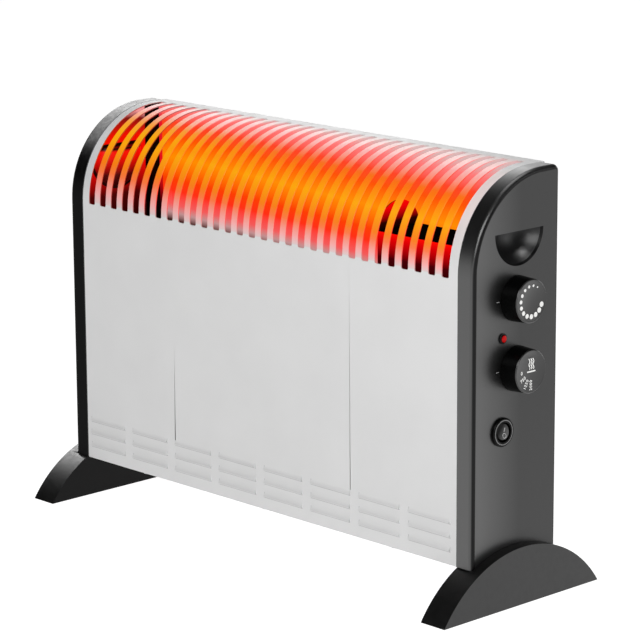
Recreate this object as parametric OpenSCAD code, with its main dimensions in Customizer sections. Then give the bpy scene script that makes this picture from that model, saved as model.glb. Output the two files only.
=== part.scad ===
// Free-standing convector heater. Millimetres, X across, Y to the back, Z up,
// origin on the floor, midway between the two feet.

/* [Case] */
// Width of the steel case between the end caps
case_w = 504; // [440:1:620]
// Depth of the case
case_d = 109; // [100:1:130]
// Height of the case's top above the floor
case_top = 386; // [370:1:440]
// Height of the case's bottom above the floor
case_base = 40; // [34:0.5:46]
// Radius of the curve from the front to the top
curve_r = 88; // [74:1:94]
// Thickness of the sheet steel
sheet_t = 1; // [0.7:0.1:1.4]
// Width of the folded edges of the case
fold_w = 12; // [9:0.5:16]

/* [Grille] */
// Distance from one slot to the next
slot_pitch = 16.36; // [14:0.02:22]
// Width of a slot
slot_w = 8; // [5:0.5:10]
// Radius of a slot's corners
slot_round = 1.5; // [0.8:0.1:2]
// Distance from the curve to a slot's rounded end
slot_clear = 0.2; // [0.2:0.1:3]
// How far the slots run back over the flat top, past the crown of the curve
slot_back = 6.5; // [2.5:0.5:12]

/* [Louvres] */
// Length of a pressed louvre
louvre_w = 50.5; // [36:0.5:56]
// Distance from one louvre to the next along a row
louvre_pitch = 62.7; // [60:0.1:80]
// Number of rows
louvre_rows = 3; // [2:1:5]
// Distance from one row to the next
louvre_row = 12.8; // [10:0.2:16]
// Height of a louvre
louvre_h = 4.6; // [3.5:0.1:6]
// How far a louvre stands out of the sheet
louvre_out = 1.4; // [1.2:0.1:2]
// Height of the lowest louvre's lip above the case's bottom
louvre_low = 12.4; // [10:0.2:20]

/* [End caps] */
// Thickness of an end cap, outside the case
cap_t = 18.5; // [16:0.5:24]
// Wall of an end cap
cap_wall = 2.5; // [2:0.1:3.5]
// Radius of an end cap's outer edge
cap_round = 4.5; // [3:0.5:5]
// Radius of an end cap's back corner
back_round = 6; // [5.5:0.5:10]
// How far a cap's tongue reaches into the case
tongue_len = 4; // [3:0.5:6]
// Thickness of the tongue
tongue_t = 2; // [1.5:0.1:2.5]
// How far a cap's posts reach into the case
post_len = 8; // [6:0.5:12]
// Width of a post
post_w = 10.3; // [9:0.1:14]

/* [Feet] */
// Length of a foot, front to back
foot_len = 200; // [180:1:260]
// Height of a foot's arc
foot_rise = 53; // [50:0.5:60]
// Thickness of a foot
foot_t = 28.6; // [26:0.2:36]
// How far a foot stands out past the cap
foot_out = 11.2; // [8:0.2:14]
// Wall of a foot
foot_wall = 2.5; // [2:0.1:3.5]

/* [Grips] */
// Radius of a grip's half-round mouth
grip_r = 30.6; // [26:0.2:32]
// Depth of a grip
grip_depth = 20; // [14:0.5:24]
// Distance from the case's top down to the straight edge of a grip
grip_drop = 52; // [48:1:60]
// Height of the finger room behind the straight edge
grip_hook = 8; // [5:0.5:10]
// Wall of a grip cup
cup_wall = 2; // [1.5:0.1:2.5]
// How far a grip lies behind the middle of the cap
grip_y = 2.8; // [0:0.1:4]

/* [Controls] */
// Diameter of a knob's face
knob_d = 38.9; // [34:0.1:42]
// Diameter of a knob's skirt
knob_skirt_d = 40.6; // [38:0.1:43]
// Height of a knob's face above the cap
knob_out = 17.7; // [15:0.1:22]
// Distance from the case's top down to the thermostat's axis
thermostat_drop = 111; // [109:1:114]
// Distance from the case's top down to the selector's axis
selector_drop = 173.3; // [168:0.1:178]
// Distance from the case's top down to the lamp
lamp_drop = 144; // [142:0.5:146]
// Distance from the case's top down to the switch
switch_drop = 227.5; // [222:0.5:232]
// How far the lamp and the switch lie in front of the middle of the cap
small_y = 17.5; // [15:0.1:17.5]
// Diameter of the switch's bezel
bezel_d = 26; // [24:0.2:28]
// Diameter of the lamp's ring
lamp_ring_d = 9.4; // [8.6:0.1:11]
// Diameter of a control shaft
shaft_d = 6; // [5:0.1:6.4]
// Swing of the rocker between on and off, in degrees
rocker_swing = 20; // [14:1:24]

/* [Shield] */
// Length of the box round the controls
shield_len = 121.5; // [100:0.5:140]
// Depth of the box round the controls
shield_d = 52; // [48:0.5:54]
// How far the box's front lies in front of the middle of the case
shield_front = 30; // [29.5:0.5:31]
// Distance from the case's top down to the box's top
shield_drop = 67.3; // [64:0.1:72]

/* [Heater] */
// Radius of the small coil
small_coil_r = 4; // [3:0.1:5]
// Radius of the large coil
large_coil_r = 6; // [5:0.1:7]
// Radius of the coils' wire
wire_r = 0.6; // [0.45:0.05:0.8]
// Distance from one curl to the next
curl_pitch = 9.6; // [9:0.1:12]
// Distance between the two coils
coil_gap_y = 32; // [28:1:36]
// Height of the coils above the case's bottom
coil_h = 110; // [100:1:120]

/* [Hidden] */
$fn = 64;

// Named clearances
slide_fit = 0.15;
shaft_fit = 0.05;
near = 0.3;
screw_fit = 0.2;
pilot_fit = 0.1;

// Case
half_w = case_w / 2;
half_d = case_d / 2;
curve_y = curve_r - half_d;
curve_z = case_top - curve_r;
slot_n = floor((case_w - 2 * 5) / slot_pitch);
louvre_n = floor(case_w / louvre_pitch);
louvre_skin = 0.75 * sheet_t;
slot_past = slot_round + slot_clear;

// Rear panel, tucked inside the front panel's folded back edge
rear_gap = 0.1;
rear_y1 = half_d - sheet_t - rear_gap;
rear_y0 = rear_y1 - sheet_t;
tongue_y = rear_y0 - slide_fit;
tongue_out = sheet_t + slide_fit;

// End caps
cap_x = half_w + cap_t;
cap_in = cap_x - cap_wall;
post_x = half_w - post_len;
rear_post_y1 = half_d - 15.8;
rear_post_y0 = rear_post_y1 - post_w;
front_post_y0 = -half_d + 12.5;
front_post_y1 = front_post_y0 + post_w;
rib_t = 2;
flange_end = rear_post_y1 - 1 - near;

// Screws: shank radius, head radius, head height
screw_r = 1.45;
head_r = 3.2;
head_h = 1.9;
hole_r = screw_r + screw_fit;
pilot_r = screw_r + pilot_fit;
boss_r = screw_r + 3;
rear_screw_len = 12;
base_screw_len = 7;
shield_screw_len = 6;
plate_screw_len = 5;
boss_x = post_x + 2;
boss_zs = [for (d = [25, 115, 215]) case_base + d];

// Feet
foot_r = (pow(foot_rise, 2) + pow(foot_len / 2, 2)) / (2 * foot_rise);
foot_x1 = cap_x + foot_out;
foot_x0 = foot_x1 - foot_t;
foot_screw_x = half_w + cap_t / 2;
foot_screw_y = 36;
foot_ledge = case_base - 12;
foot_boss_h = 20;
foot_post_r = head_r + 3.3;

// Grips
grip_z = case_top - grip_drop;
grip_ball = (pow(grip_r, 2) + pow(grip_depth, 2)) / (2 * grip_depth);
grip_ball_x = cap_x - grip_depth + grip_ball;
cup_flange = 2.4;
cup_flange_t = 1.6;
cup_x = cap_in - 0.1;

// Controls
thermostat_z = case_top - thermostat_drop;
selector_z = case_top - selector_drop;
lamp_z = case_top - lamp_drop;
switch_z = case_top - switch_drop;
small_at = -small_y;
shaft_r = shaft_d / 2;
shaft_flat = 0.5 * shaft_r;
bush_r = shaft_r + 1.8;
bush_out = 3.2;
nut_t = 2.2;
nut_r = bush_r + 3;
knob_gap = 0.8;
knob_x0 = cap_x + knob_gap;
knob_x1 = cap_x + knob_out;
knob_wall = 2.2;
knob_face_t = 3;
hub_r = shaft_r + 3.4;
hub_x0 = cap_x + bush_out + near + 0.3;
clip_t = 0.4;
shaft_x1 = knob_x1 - knob_face_t - 0.6;
control_in = 24;
control_x0 = cap_in - control_in;
well_r = 8.9;
ball_r = well_r - near;
barrel_r = 10;
bezel_h = 2.8;
pivot_x = cap_x - 3;
pin_r = 1.2;
lens_r = lamp_ring_d / 2 - 1.1;
lamp_barrel_r = lens_r;
lamp_depth = 16;
ring_out = 1.2;

// Ribs of the caps, from above the feet's screws to below the switch
rib_low = case_base + 2 * foot_boss_h;
rib_high = switch_z - bezel_d / 2 - 10;
rib_zs = [for (i = [0 : 2]) rib_low + i * (rib_high - rib_low) / 2];

// Shield
shield_x1 = post_x - near;
shield_x0 = shield_x1 - shield_len + post_len + near;
shield_y0 = -shield_front;
shield_y1 = shield_y0 + shield_d;
shield_top = case_top - shield_drop;
shield_mid = (shield_y0 + shield_y1) / 2;
shield_foot = case_base + 2 * sheet_t + 1;
shield_flange = 9;
shield_screw_z = [for (d = [30, 130, 226]) case_base + d];
cutout_r = 8;

// Heater
coil_z = case_base + coil_h;
plate_h = 44;
plate_t = 1;
plate_z0 = coil_z - plate_h / 2;
left_plate_x = -post_x + near;
right_plate_x = shield_x0 - plate_t;
mid_plate_x = (left_plate_x + right_plate_x) / 2;
rail_y = coil_gap_y / 2 + large_coil_r + 6;
rail_h = 26;
ceramic_wall = 1.6;
ceramic_len = 5;
tail_len = 7;
coil_x0 = left_plate_x + plate_t + ceramic_len / 2 + 4;
coil_x1 = right_plate_x - ceramic_len / 2 - 4;
curls = floor((coil_x1 - coil_x0) / curl_pitch);
curl_rings = 8;
wire_sides = 6;
lead_r = 1.1;
lead_sides = 6;

// Cord inlet
cord_r = 4;
cord_x = half_w - 37;
cord_z = case_base + 22;
cord_wall = 2.2;
cord_lip = 2;
cord_gap = cord_r + 10;

// Placing helpers

// Extrudes a (y, z) outline from x0 to x1
module along_x(x0, x1) {
    translate([x0, 0, 0]) rotate([90, 0, 90]) linear_extrude(x1 - x0) children();
}

// Extrudes an (x, z) outline from y0 to y1
module along_y(y0, y1) {
    translate([0, y1, 0]) rotate([90, 0, 0]) linear_extrude(y1 - y0) children();
}

module box(low, high) {
    translate(low) cube(high - low);
}

module rod_x(x0, x1, r, y = 0, z = 0) {
    translate([x0, y, z]) rotate([0, 90, 0]) cylinder(h = x1 - x0, r = r);
}

module rod_y(y0, y1, r, x = 0, z = 0) {
    translate([x, y0, z]) rotate([-90, 0, 0]) cylinder(h = y1 - y0, r = r);
}

module rod_z(z0, z1, r, x = 0, y = 0) {
    translate([x, y, z0]) cylinder(h = z1 - z0, r = r);
}

module both_sides() {
    children();
    mirror([1, 0, 0]) children();
}

// Case outlines, as (y, z)

module case_outline(inset = 0, back = 0) {
    back_y = back == 0 ? half_d - inset : back;
    low = case_base + inset;
    high = case_top - inset;
    translate([inset - half_d, low]) square([back_y + half_d - inset, curve_z - low]);
    translate([curve_y, low]) square([back_y - curve_y, high - low]);
    intersection() {
        translate([curve_y, curve_z]) circle(curve_r - inset, $fn = 128);
        translate([inset - half_d - 1, curve_z - 1]) square([curve_r + 1, curve_r + 1]);
    }
}

// Front panel

module slot_end(length) {
    square_w = slot_w - 2 * slot_round;
    translate([-square_w / 2, 0]) square([square_w, length]);
    translate([-slot_w / 2, slot_round]) square([slot_w, length - slot_round]);
    for (s = [-1, 1]) translate([s * square_w / 2, slot_round]) circle(slot_round, $fn = 24);
}

module slot_cutter() {
    reach = 3;
    grow = slot_clear + reach;
    along_x(-slot_w / 2, slot_w / 2) intersection() {
        difference() {
            translate([curve_y, curve_z]) circle(curve_r + reach, $fn = 128);
            translate([curve_y, curve_z]) circle(curve_r - sheet_t - reach, $fn = 128);
        }
        translate([curve_y - 2 * curve_r, curve_z - slot_clear])
            square([2 * curve_r + slot_clear, 2 * curve_r]);
    }
    along_y(-half_d - reach, -half_d + sheet_t + reach)
        translate([0, curve_z - slot_past]) slot_end(slot_round + grow);
    translate([0, curve_y + slot_back, case_top - sheet_t - reach])
        linear_extrude(sheet_t + 2 * reach) mirror([0, 1]) slot_end(slot_back + reach);
}

// A pressed louvre: hood above, mouth below, cut through the sheet behind it
module louvre_hood() {
    face = -half_d;
    lip = face - louvre_out;
    hood = [
        [face + sheet_t, louvre_h], [face, louvre_h], [lip, 0.2 * louvre_h], [lip, 0],
        [lip + louvre_skin, 0], [lip + louvre_skin, 0.2 * louvre_h],
        [face + sheet_t, louvre_h - louvre_skin],
    ];
    cheek = [[face + sheet_t, louvre_h], [face, louvre_h], [lip, 0.2 * louvre_h], [lip, 0], [face + sheet_t, 0]];
    along_x(-louvre_w / 2, louvre_w / 2) polygon(hood);
    for (s = [0, 1]) mirror([s, 0, 0])
        along_x(louvre_w / 2 - sheet_t, louvre_w / 2) polygon(cheek);
}

module at_louvres() {
    for (i = [0 : louvre_n - 1], j = [0 : louvre_rows - 1])
        translate([(i - (louvre_n - 1) / 2) * louvre_pitch, 0, case_base + louvre_low + j * louvre_row])
            children();
}

module front_panel() {
    color([0.87, 0.88, 0.88]) difference() {
        union() {
            difference() {
                along_x(-half_w, half_w) difference() {
                    case_outline();
                    case_outline(sheet_t);
                    translate([fold_w - half_d, case_base - 1]) square([case_d, curve_z - case_base]);
                    translate([curve_y, case_base - 1]) square([case_d, case_top - fold_w - case_base + 1]);
                }
                at_louvres() box(
                    [-louvre_w / 2 + sheet_t, -half_d - 1, 0],
                    [louvre_w / 2 - sheet_t, sheet_t - half_d + 1, louvre_h - louvre_skin]
                );
            }
            at_louvres() louvre_hood();
        }
        for (i = [0 : slot_n - 1]) translate([(i - (slot_n - 1) / 2) * slot_pitch, 0, 0]) slot_cutter();
        at_base_screws(front = true) rod_z(case_base - 1, case_base + sheet_t + 1, hole_r);
    }
}

// Rear panel, with rows of air slots low down

rear_half_w = half_w - near;
rear_slot_h = 4;

module round_slot(length, height) {
    square([length - height, height], center = true);
    for (s = [-1, 1]) translate([s * (length - height) / 2, 0]) circle(height / 2, $fn = 32);
}

module at_rear_screws() {
    for (s = [-1, 1], z = boss_zs) translate([s * boss_x, 0, z]) children();
}

module rear_panel() {
    color([0.8, 0.81, 0.81]) {
        difference() {
            along_y(rear_y0, rear_y1) difference() {
                translate([-rear_half_w, case_base + sheet_t])
                    square([2 * rear_half_w, case_top - case_base - 2 * sheet_t - 0.2]);
                for (i = [0 : louvre_n - 2], j = [0 : louvre_rows - 1])
                    translate([
                        (i - (louvre_n - 1) / 2) * louvre_pitch,
                        case_base + louvre_low + 36 + j * louvre_row
                    ]) round_slot(louvre_w, rear_slot_h);
            }
            at_rear_screws() rod_y(rear_y0 - 1, rear_y1 + 1, hole_r);
            rod_y(rear_y0 - 1, rear_y1 + 1, cord_r + cord_wall + 0.1, cord_x, cord_z);
        }
        difference() {
            box([-base_half_w, half_d - fold_w, case_base], [base_half_w, rear_y1, case_base + sheet_t]);
            at_base_screws(front = false) rod_z(case_base - 1, case_base + sheet_t + 1, hole_r);
        }
    }
}

// Bottom grille, resting on the folded bottom edges of the two panels

base_half_w = half_w - tongue_len - near;
base_z = case_base + sheet_t;
base_slot_pitch = 17;
base_slot_w = 8;
base_slot_len = 62;
base_slot_n = floor((2 * base_half_w - 12) / base_slot_pitch);
base_screw_x = 170;

module at_base_screws(front) {
    y = half_d - fold_w / 2;
    for (s = [-1, 0, 1]) translate([s * base_screw_x, front ? -y : y, 0]) children();
}

module bottom_grille() {
    color([0.7, 0.71, 0.72]) difference() {
        translate([0, 0, base_z]) linear_extrude(sheet_t) difference() {
            y0 = sheet_t + near - half_d;
            translate([-base_half_w, y0]) square([2 * base_half_w, rear_y0 - near - y0]);
            for (i = [0 : base_slot_n - 1])
                translate([(i - (base_slot_n - 1) / 2) * base_slot_pitch, 0])
                    rotate(90) round_slot(base_slot_len, base_slot_w);
        }
        for (f = [true, false]) at_base_screws(front = f) rod_z(base_z - 1, base_z + sheet_t + 1, pilot_r);
    }
}

// Reflecting liner on the inside of the rear panel

liner_t = 0.6;
liner_half_w = boss_x - boss_r - near;
liner_low = coil_z + plate_h;
liner_top = case_top - sheet_t - 3;

module rear_liner() {
    color([0.85, 0.6, 0.35]) along_y(rear_y0 - liner_t, rear_y0)
        translate([-liner_half_w, liner_low]) square([2 * liner_half_w, liner_top - liner_low]);
}

// End caps

// The cap's thickness across its edge, as (distance out, x), with the outer edge rounded
module cap_section(reach) {
    translate([0, half_w]) difference() {
        square([reach, cap_t]);
        translate([reach - cap_round, cap_t - cap_round]) difference() {
            square([cap_round + 1, cap_round + 1]);
            circle(cap_round, $fn = 48);
        }
    }
}

module cap_solid() {
    corner_y = half_d - back_round;
    corner_z = case_top - back_round;
    translate([0, curve_y, case_base]) linear_extrude(curve_z - case_base)
        rotate(-90) cap_section(curve_r);
    translate([0, curve_y, curve_z]) rotate([90, 0, 90]) rotate([0, 0, 90])
        rotate_extrude(angle = 90, $fn = 128) cap_section(curve_r);
    translate([0, curve_y, case_base]) linear_extrude(corner_z - case_base)
        mirror([1, -1]) cap_section(half_d - curve_y);
    translate([0, corner_y, curve_z]) rotate([90, 0, 0]) linear_extrude(corner_y - curve_y)
        mirror([1, -1]) cap_section(curve_r);
    translate([0, corner_y, corner_z]) rotate([90, 0, 90])
        rotate_extrude(angle = 90, $fn = 48) cap_section(back_round);
}

// A hollow post from the cap's side wall into the case
module cap_post(y0, y1, z0, z1) {
    difference() {
        box([post_x, y0, z0], [cap_in + 0.5, y1, z1]);
        box([post_x + cap_wall, y0 + rib_t, z0 + rib_t], [cap_in, y1 - rib_t, z1 - rib_t]);
    }
}

module cap_inside(front_post_top) {
    along_x(half_w - tongue_len, half_w + 1) difference() {
        case_outline(tongue_out, tongue_y);
        case_outline(tongue_out + tongue_t, tongue_y - tongue_t);
    }
    low = case_base + tongue_out + tongue_t / 2;
    high = case_top - tongue_out - tongue_t / 2;
    cap_post(rear_post_y0, rear_post_y1, low, high);
    cap_post(front_post_y0, front_post_y1, low, front_post_top);
    for (z = boss_zs) rod_y(rear_post_y1 - 1, rear_y0 - 0.05, boss_r, boss_x, z);
    for (s = [-1, 1])
        rod_z(case_base + 1, case_base + foot_boss_h, boss_r, foot_screw_x, s * foot_screw_y);
    for (z = rib_zs)
        box([cap_in - 5, front_post_y1 - 1, z], [cap_in + 0.5, rear_post_y0 + 1, z + rib_t]);
}

module grip_ball(grow = 0) {
    translate([grip_ball_x, grip_y, grip_z]) sphere(grip_ball + grow, $fn = 96);
}

module cap(front_post_top) {
    cup_reach = grip_r + cup_flange + near;
    difference() {
        union() {
            difference() {
                cap_solid();
                along_x(half_w - 1, cap_in) case_outline(cap_wall);
            }
            cap_inside(front_post_top);
        }
        intersection() {
            grip_ball();
            box([cap_in - 1, -half_d, 0], [cap_x + 1, half_d, grip_z]);
        }
        box([cap_in - cup_flange_t - 0.1 - near, grip_y - cup_reach, grip_z - cup_reach],
            [cap_in, grip_y + cup_reach, grip_z + grip_hook + cup_wall + cup_flange + near]);
        intersection() {
            grip_ball(cup_wall + near);
            box([half_w - 30, -half_d, 0], [cap_in, half_d, grip_z + grip_hook + cup_wall + near]);
        }
        for (z = boss_zs) rod_y(rear_post_y1 - 2, rear_y0 + 1, pilot_r, boss_x, z);
        for (s = [-1, 1])
            rod_z(case_base - 1, case_base + foot_boss_h - 2, pilot_r, foot_screw_x, s * foot_screw_y);
    }
}

left_post_top = case_base + 160;
right_post_top = case_base + 250;

module left_cap() {
    color([0.2, 0.2, 0.21]) mirror([1, 0, 0]) difference() {
        cap(left_post_top);
        at_plate_screws() rod_x(post_x - 1, post_x + cap_wall + 1, pilot_r);
    }
}

module right_cap() {
    color([0.2, 0.2, 0.21]) difference() {
        cap(right_post_top);
        for (z = [thermostat_z, selector_z]) rod_x(cap_in - 1, cap_x + 1, bush_r + 0.1, 0, z);
        rod_x(cap_in - 1, cap_x + 1, barrel_r + 0.1, small_at, switch_z);
        rod_x(cap_in - 1, cap_x + 1, lamp_barrel_r + 0.1, small_at, lamp_z);
        at_shield_screws() rod_x(post_x - 1, post_x + cap_wall + 1, pilot_r);
    }
}

// Grip cup, behind the cap's wall, with finger room behind the straight edge
module grip_cup() {
    roof = grip_z + grip_hook;
    rim = grip_r + cup_flange;
    difference() {
        union() {
            intersection() {
                grip_ball(cup_wall);
                box([half_w - 20, -half_d, 0], [cup_x, half_d, roof + cup_wall]);
            }
            intersection() {
                rod_x(cup_x - cup_flange_t, cup_x, rim, grip_y, grip_z);
                box([half_w - 20, -half_d, 0], [cup_x + 1, half_d, roof + cup_wall + cup_flange - 0.4]);
            }
        }
        intersection() {
            grip_ball();
            box([half_w - 30, -half_d, 0], [cap_x + 1, half_d, roof]);
        }
    }
}

module left_grip_cup() {
    color([0.1, 0.1, 0.11]) mirror([1, 0, 0]) grip_cup();
}

module right_grip_cup() {
    color([0.1, 0.1, 0.11]) grip_cup();
}

// Feet

module foot_outline(inset = 0, high = foot_rise) {
    intersection() {
        translate([0, foot_rise - foot_r]) circle(foot_r - inset, $fn = 180);
        translate([-foot_len / 2, -inset]) square([foot_len, high + inset]);
    }
}

module foot() {
    step_x = cap_x + near;
    difference() {
        union() {
            difference() {
                union() {
                    along_x(step_x, foot_x1) foot_outline();
                    along_x(foot_x0, step_x + 0.5) foot_outline(0, case_base);
                }
                difference() {
                    union() {
                        along_x(foot_x0 + foot_wall, foot_x1 - foot_wall)
                            foot_outline(foot_wall, case_base - foot_wall);
                        along_x(step_x + foot_wall, foot_x1 - foot_wall) foot_outline(foot_wall);
                    }
                    for (y = [-64, -20, 0, 20, 64])
                        box([foot_x0, y - rib_t / 2, -1], [foot_x1, y + rib_t / 2, foot_rise]);
                }
            }
            for (s = [-1, 1]) rod_z(0, case_base - 1, foot_post_r, foot_screw_x, s * foot_screw_y);
        }
        for (s = [-1, 1]) {
            rod_z(-1, foot_ledge, head_r + 0.4, foot_screw_x, s * foot_screw_y);
            rod_z(-1, case_base + 1, hole_r, foot_screw_x, s * foot_screw_y);
        }
    }
}

module left_foot() {
    color([0.17, 0.17, 0.18]) mirror([1, 0, 0]) foot();
}

module right_foot() {
    color([0.17, 0.17, 0.18]) foot();
}

// Screws. Each stands along +Z with its head's underside at the origin and its shank above it

module screw(length) {
    difference() {
        union() {
            translate([0, 0, -head_h]) cylinder(h = head_h, r1 = 0.8 * head_r, r2 = head_r);
            cylinder(h = length, r = screw_r);
        }
        for (a = [0, 90]) rotate(a) box([-1.8, -0.4, -head_h - 1], [1.8, 0.4, 0.9 - head_h]);
    }
}

module foot_screws() {
    color("silver") both_sides() for (s = [-1, 1])
        translate([foot_screw_x, s * foot_screw_y, foot_ledge]) screw(case_base - foot_ledge + foot_boss_h - 4);
}

module rear_screws() {
    color("silver") at_rear_screws() translate([0, rear_y1, 0]) rotate([90, 0, 0]) screw(rear_screw_len);
}

module base_screws() {
    color("silver") for (f = [true, false]) at_base_screws(front = f)
        translate([0, 0, case_base]) screw(base_screw_len);
}

// Control shield: a folded sheet box with a half-round end

module at_shield_screws() {
    for (z = shield_screw_z) {
        translate([0, front_post_y0 + post_w / 2, z]) children();
        translate([0, rear_post_y0 + post_w / 2, z]) children();
    }
}

module control_shield() {
    wall = sheet_t;
    flange_x = shield_x1 - wall;
    color([0.25, 0.24, 0.24]) difference() {
        union() {
            difference() {
                box([shield_x0, shield_y0, shield_foot], [shield_x1, shield_y1, shield_top]);
                box([shield_x0 + wall, shield_y0 + wall, shield_foot - 1],
                    [shield_x1 + 1, shield_y1 - wall, shield_top - wall]);
            }
            along_x(shield_x0, shield_x0 + wall) intersection() {
                translate([shield_mid, shield_top - wall]) circle(shield_d / 2, $fn = 96);
                translate([shield_y0, shield_top - wall]) square([shield_d, shield_d]);
            }
            box([flange_x, front_post_y0, shield_foot], [shield_x1, shield_y0 + wall, right_post_top]);
            box([flange_x, shield_y1 - wall, shield_foot], [shield_x1, flange_end, right_post_top]);
        }
        at_shield_screws() rod_x(flange_x - 1, shield_x1 + 1, hole_r);
        box([cord_x - cord_gap, shield_y1 - wall - 1, 0],
            [cord_x + cord_gap, shield_y1 + 1, cord_z + cord_gap]);
        for (s = [-1, 1]) rod_x(shield_x0 - 1, shield_x0 + wall + 1, end_ceramic_r + 0.2, s * coil_gap_y / 2, coil_z);
        for (s = [-1, 1]) rod_x(shield_x0 - 1, shield_x0 + wall + 1, hole_r, s * plate_screw_y, coil_z);
    }
}

module shield_screws() {
    color("silver") at_shield_screws()
        translate([shield_x1 - sheet_t, 0, 0]) rotate([0, 90, 0]) screw(shield_screw_len);
}

// Heater: two coils strung through ceramic bushes in three plates, on two rails

end_ceramic_r = wire_r + 0.1 + ceramic_wall;
plate_screw_y = 7;

module plate_outline(y0, y1) {
    translate([y0, plate_z0]) square([y1 - y0, plate_h]);
}

module left_element_plate() {
    color([0.6, 0.6, 0.62]) difference() {
        along_x(left_plate_x, left_plate_x + plate_t)
            plate_outline(front_post_y0, flange_end);
        for (s = [-1, 1])
            rod_x(left_plate_x - 1, left_plate_x + plate_t + 1, end_ceramic_r + 0.1, s * coil_gap_y / 2, coil_z);
        mirror([1, 0, 0]) at_plate_screws() rod_x(post_x - plate_t - near - 1, post_x + 1, hole_r);
    }
}

module at_plate_screws() {
    for (y = [front_post_y0 + post_w / 2, rear_post_y0 + post_w / 2]) translate([0, y, coil_z]) children();
}

module right_element_plate() {
    color([0.6, 0.6, 0.62]) difference() {
        along_x(right_plate_x, right_plate_x + plate_t) plate_outline(-rail_y, rail_y);
        for (s = [-1, 1])
            rod_x(right_plate_x - 1, right_plate_x + plate_t + 1, end_ceramic_r + 0.1, s * coil_gap_y / 2, coil_z);
        for (s = [-1, 1])
            rod_x(right_plate_x - 1, right_plate_x + plate_t + 1, pilot_r, s * plate_screw_y, coil_z);
    }
}

module mid_element_plate() {
    color([0.6, 0.6, 0.62]) difference() {
        along_x(mid_plate_x - plate_t / 2, mid_plate_x + plate_t / 2) plate_outline(-rail_y, rail_y);
        for (s = [-1, 1])
            rod_x(mid_plate_x - 2, mid_plate_x + 2, mid_ceramic_r(s) + 0.1, s * coil_gap_y / 2, coil_z);
    }
}

module plate_screws() {
    color("silver") {
        mirror([1, 0, 0]) at_plate_screws()
            translate([post_x - plate_t - near, 0, 0]) rotate([0, 90, 0]) screw(shield_screw_len);
        for (s = [-1, 1])
            translate([shield_x0 + sheet_t, s * plate_screw_y, coil_z]) rotate([0, -90, 0]) screw(plate_screw_len);
    }
}

module element_rails() {
    color([0.55, 0.55, 0.57]) for (s = [0, 1]) mirror([0, s, 0])
        box([left_plate_x + plate_t, rail_y, coil_z - rail_h / 2],
            [right_plate_x, rail_y + plate_t, coil_z + rail_h / 2]);
}

function coil_r(side) = side < 0 ? small_coil_r : large_coil_r;
function mid_ceramic_r(side) = coil_r(side) + wire_r + near + ceramic_wall;

// A flanged bush along X, centred on its plate
module ceramic(bore, outer) {
    difference() {
        union() {
            rod_x(-ceramic_len / 2, ceramic_len / 2, outer);
            rod_x(plate_t / 2, ceramic_len / 2, outer + 1.2);
        }
        rod_x(-ceramic_len, ceramic_len, bore);
    }
}

module end_ceramics() {
    color([0.93, 0.91, 0.86]) for (s = [-1, 1]) {
        translate([left_plate_x + plate_t / 2, s * coil_gap_y / 2, coil_z])
            ceramic(wire_r + 0.1, end_ceramic_r);
        translate([right_plate_x + plate_t / 2, s * coil_gap_y / 2, coil_z])
            mirror([1, 0, 0]) ceramic(wire_r + 0.1, end_ceramic_r);
    }
}

module mid_ceramics() {
    color([0.93, 0.91, 0.86]) for (s = [-1, 1])
        translate([mid_plate_x, s * coil_gap_y / 2, coil_z])
            ceramic(coil_r(s) + wire_r + near, mid_ceramic_r(s));
}

// Sweeps of a round wire along points, its rings turned as little as possible from one to the next

function unit(v) = v / norm(v);
function direction(pts, i) = unit(pts[min(i + 1, len(pts) - 1)] - pts[max(i - 1, 0)]);
function side_of(v, t) = unit(v - (v * t) * t);
function sides_along(pts) = [
    for (i = 0, v = side_of([0.12, 0.3, 1], direction(pts, 0)); i < len(pts);
        i = i + 1, v = i < len(pts) ? side_of(v, direction(pts, i)) : v) v
];

module sweep(pts, r, sides) {
    n = len(pts);
    vs = sides_along(pts);
    rings = [
        for (i = [0 : n - 1]) let (t = direction(pts, i), w = cross(t, vs[i]))
            for (k = [0 : sides - 1]) let (a = 360 * k / sides)
                pts[i] + r * (cos(a) * vs[i] + sin(a) * w)
    ];
    walls = [
        for (i = [0 : n - 2], k = [0 : sides - 1])
            let (a = i * sides + k, b = i * sides + (k + 1) % sides)
            each [[a, b + sides, b], [a, a + sides, b + sides]]
    ];
    ends = [
        [for (k = [0 : sides - 1]) k],
        [for (k = [sides - 1 : -1 : 0]) (n - 1) * sides + k],
    ];
    polyhedron(rings, concat(walls, ends), convexity = 10);
}

// A coil's middle line: a tail, curls that grow out of the axis and back to it, a tail
function coil_path(side, r) =
    let (
        y = side * coil_gap_y / 2,
        steps = curls * curl_rings,
        pitch = (coil_x1 - coil_x0) / curls,
        grow = 0.75 * curl_rings
    )
    concat(
        [[left_tail_x, y, coil_z]],
        [
            for (i = [0 : steps])
                let (a = 360 * i / curl_rings, q = r * min(1, min(i, steps - i) / grow))
                [coil_x0 + pitch * i / curl_rings, y + q * cos(a), coil_z + q * sin(a)]
        ],
        [[right_tail_x, y, coil_z]]
    );

left_tail_x = left_plate_x - tail_len;
right_tail_x = shield_x0 + sheet_t + tail_len;

function self_gap(pts) =
    min([
        for (i = [0 : len(pts) - 1], j = [i + curl_rings - 2 : i + 2 * curl_rings])
            if (j < len(pts)) norm(pts[i] - pts[j])
    ]) - 2 * wire_r;

small_path = coil_path(-1, small_coil_r);
large_path = coil_path(1, large_coil_r);
echo(curls_in_all = 2 * curls, small_coil_gap = self_gap(small_path), large_coil_gap = self_gap(large_path));

module small_coil() {
    color([1, 0.45, 0.1]) sweep(small_path, wire_r, wire_sides);
}

module large_coil() {
    color([1, 0.45, 0.1]) sweep(large_path, wire_r, wire_sides);
}

module coil_link() {
    color([0.7, 0.7, 0.72])
        box([left_tail_x - 1, -coil_gap_y / 2 - 3, coil_z - 3], [left_tail_x, coil_gap_y / 2 + 3, coil_z + 3]);
}

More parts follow.
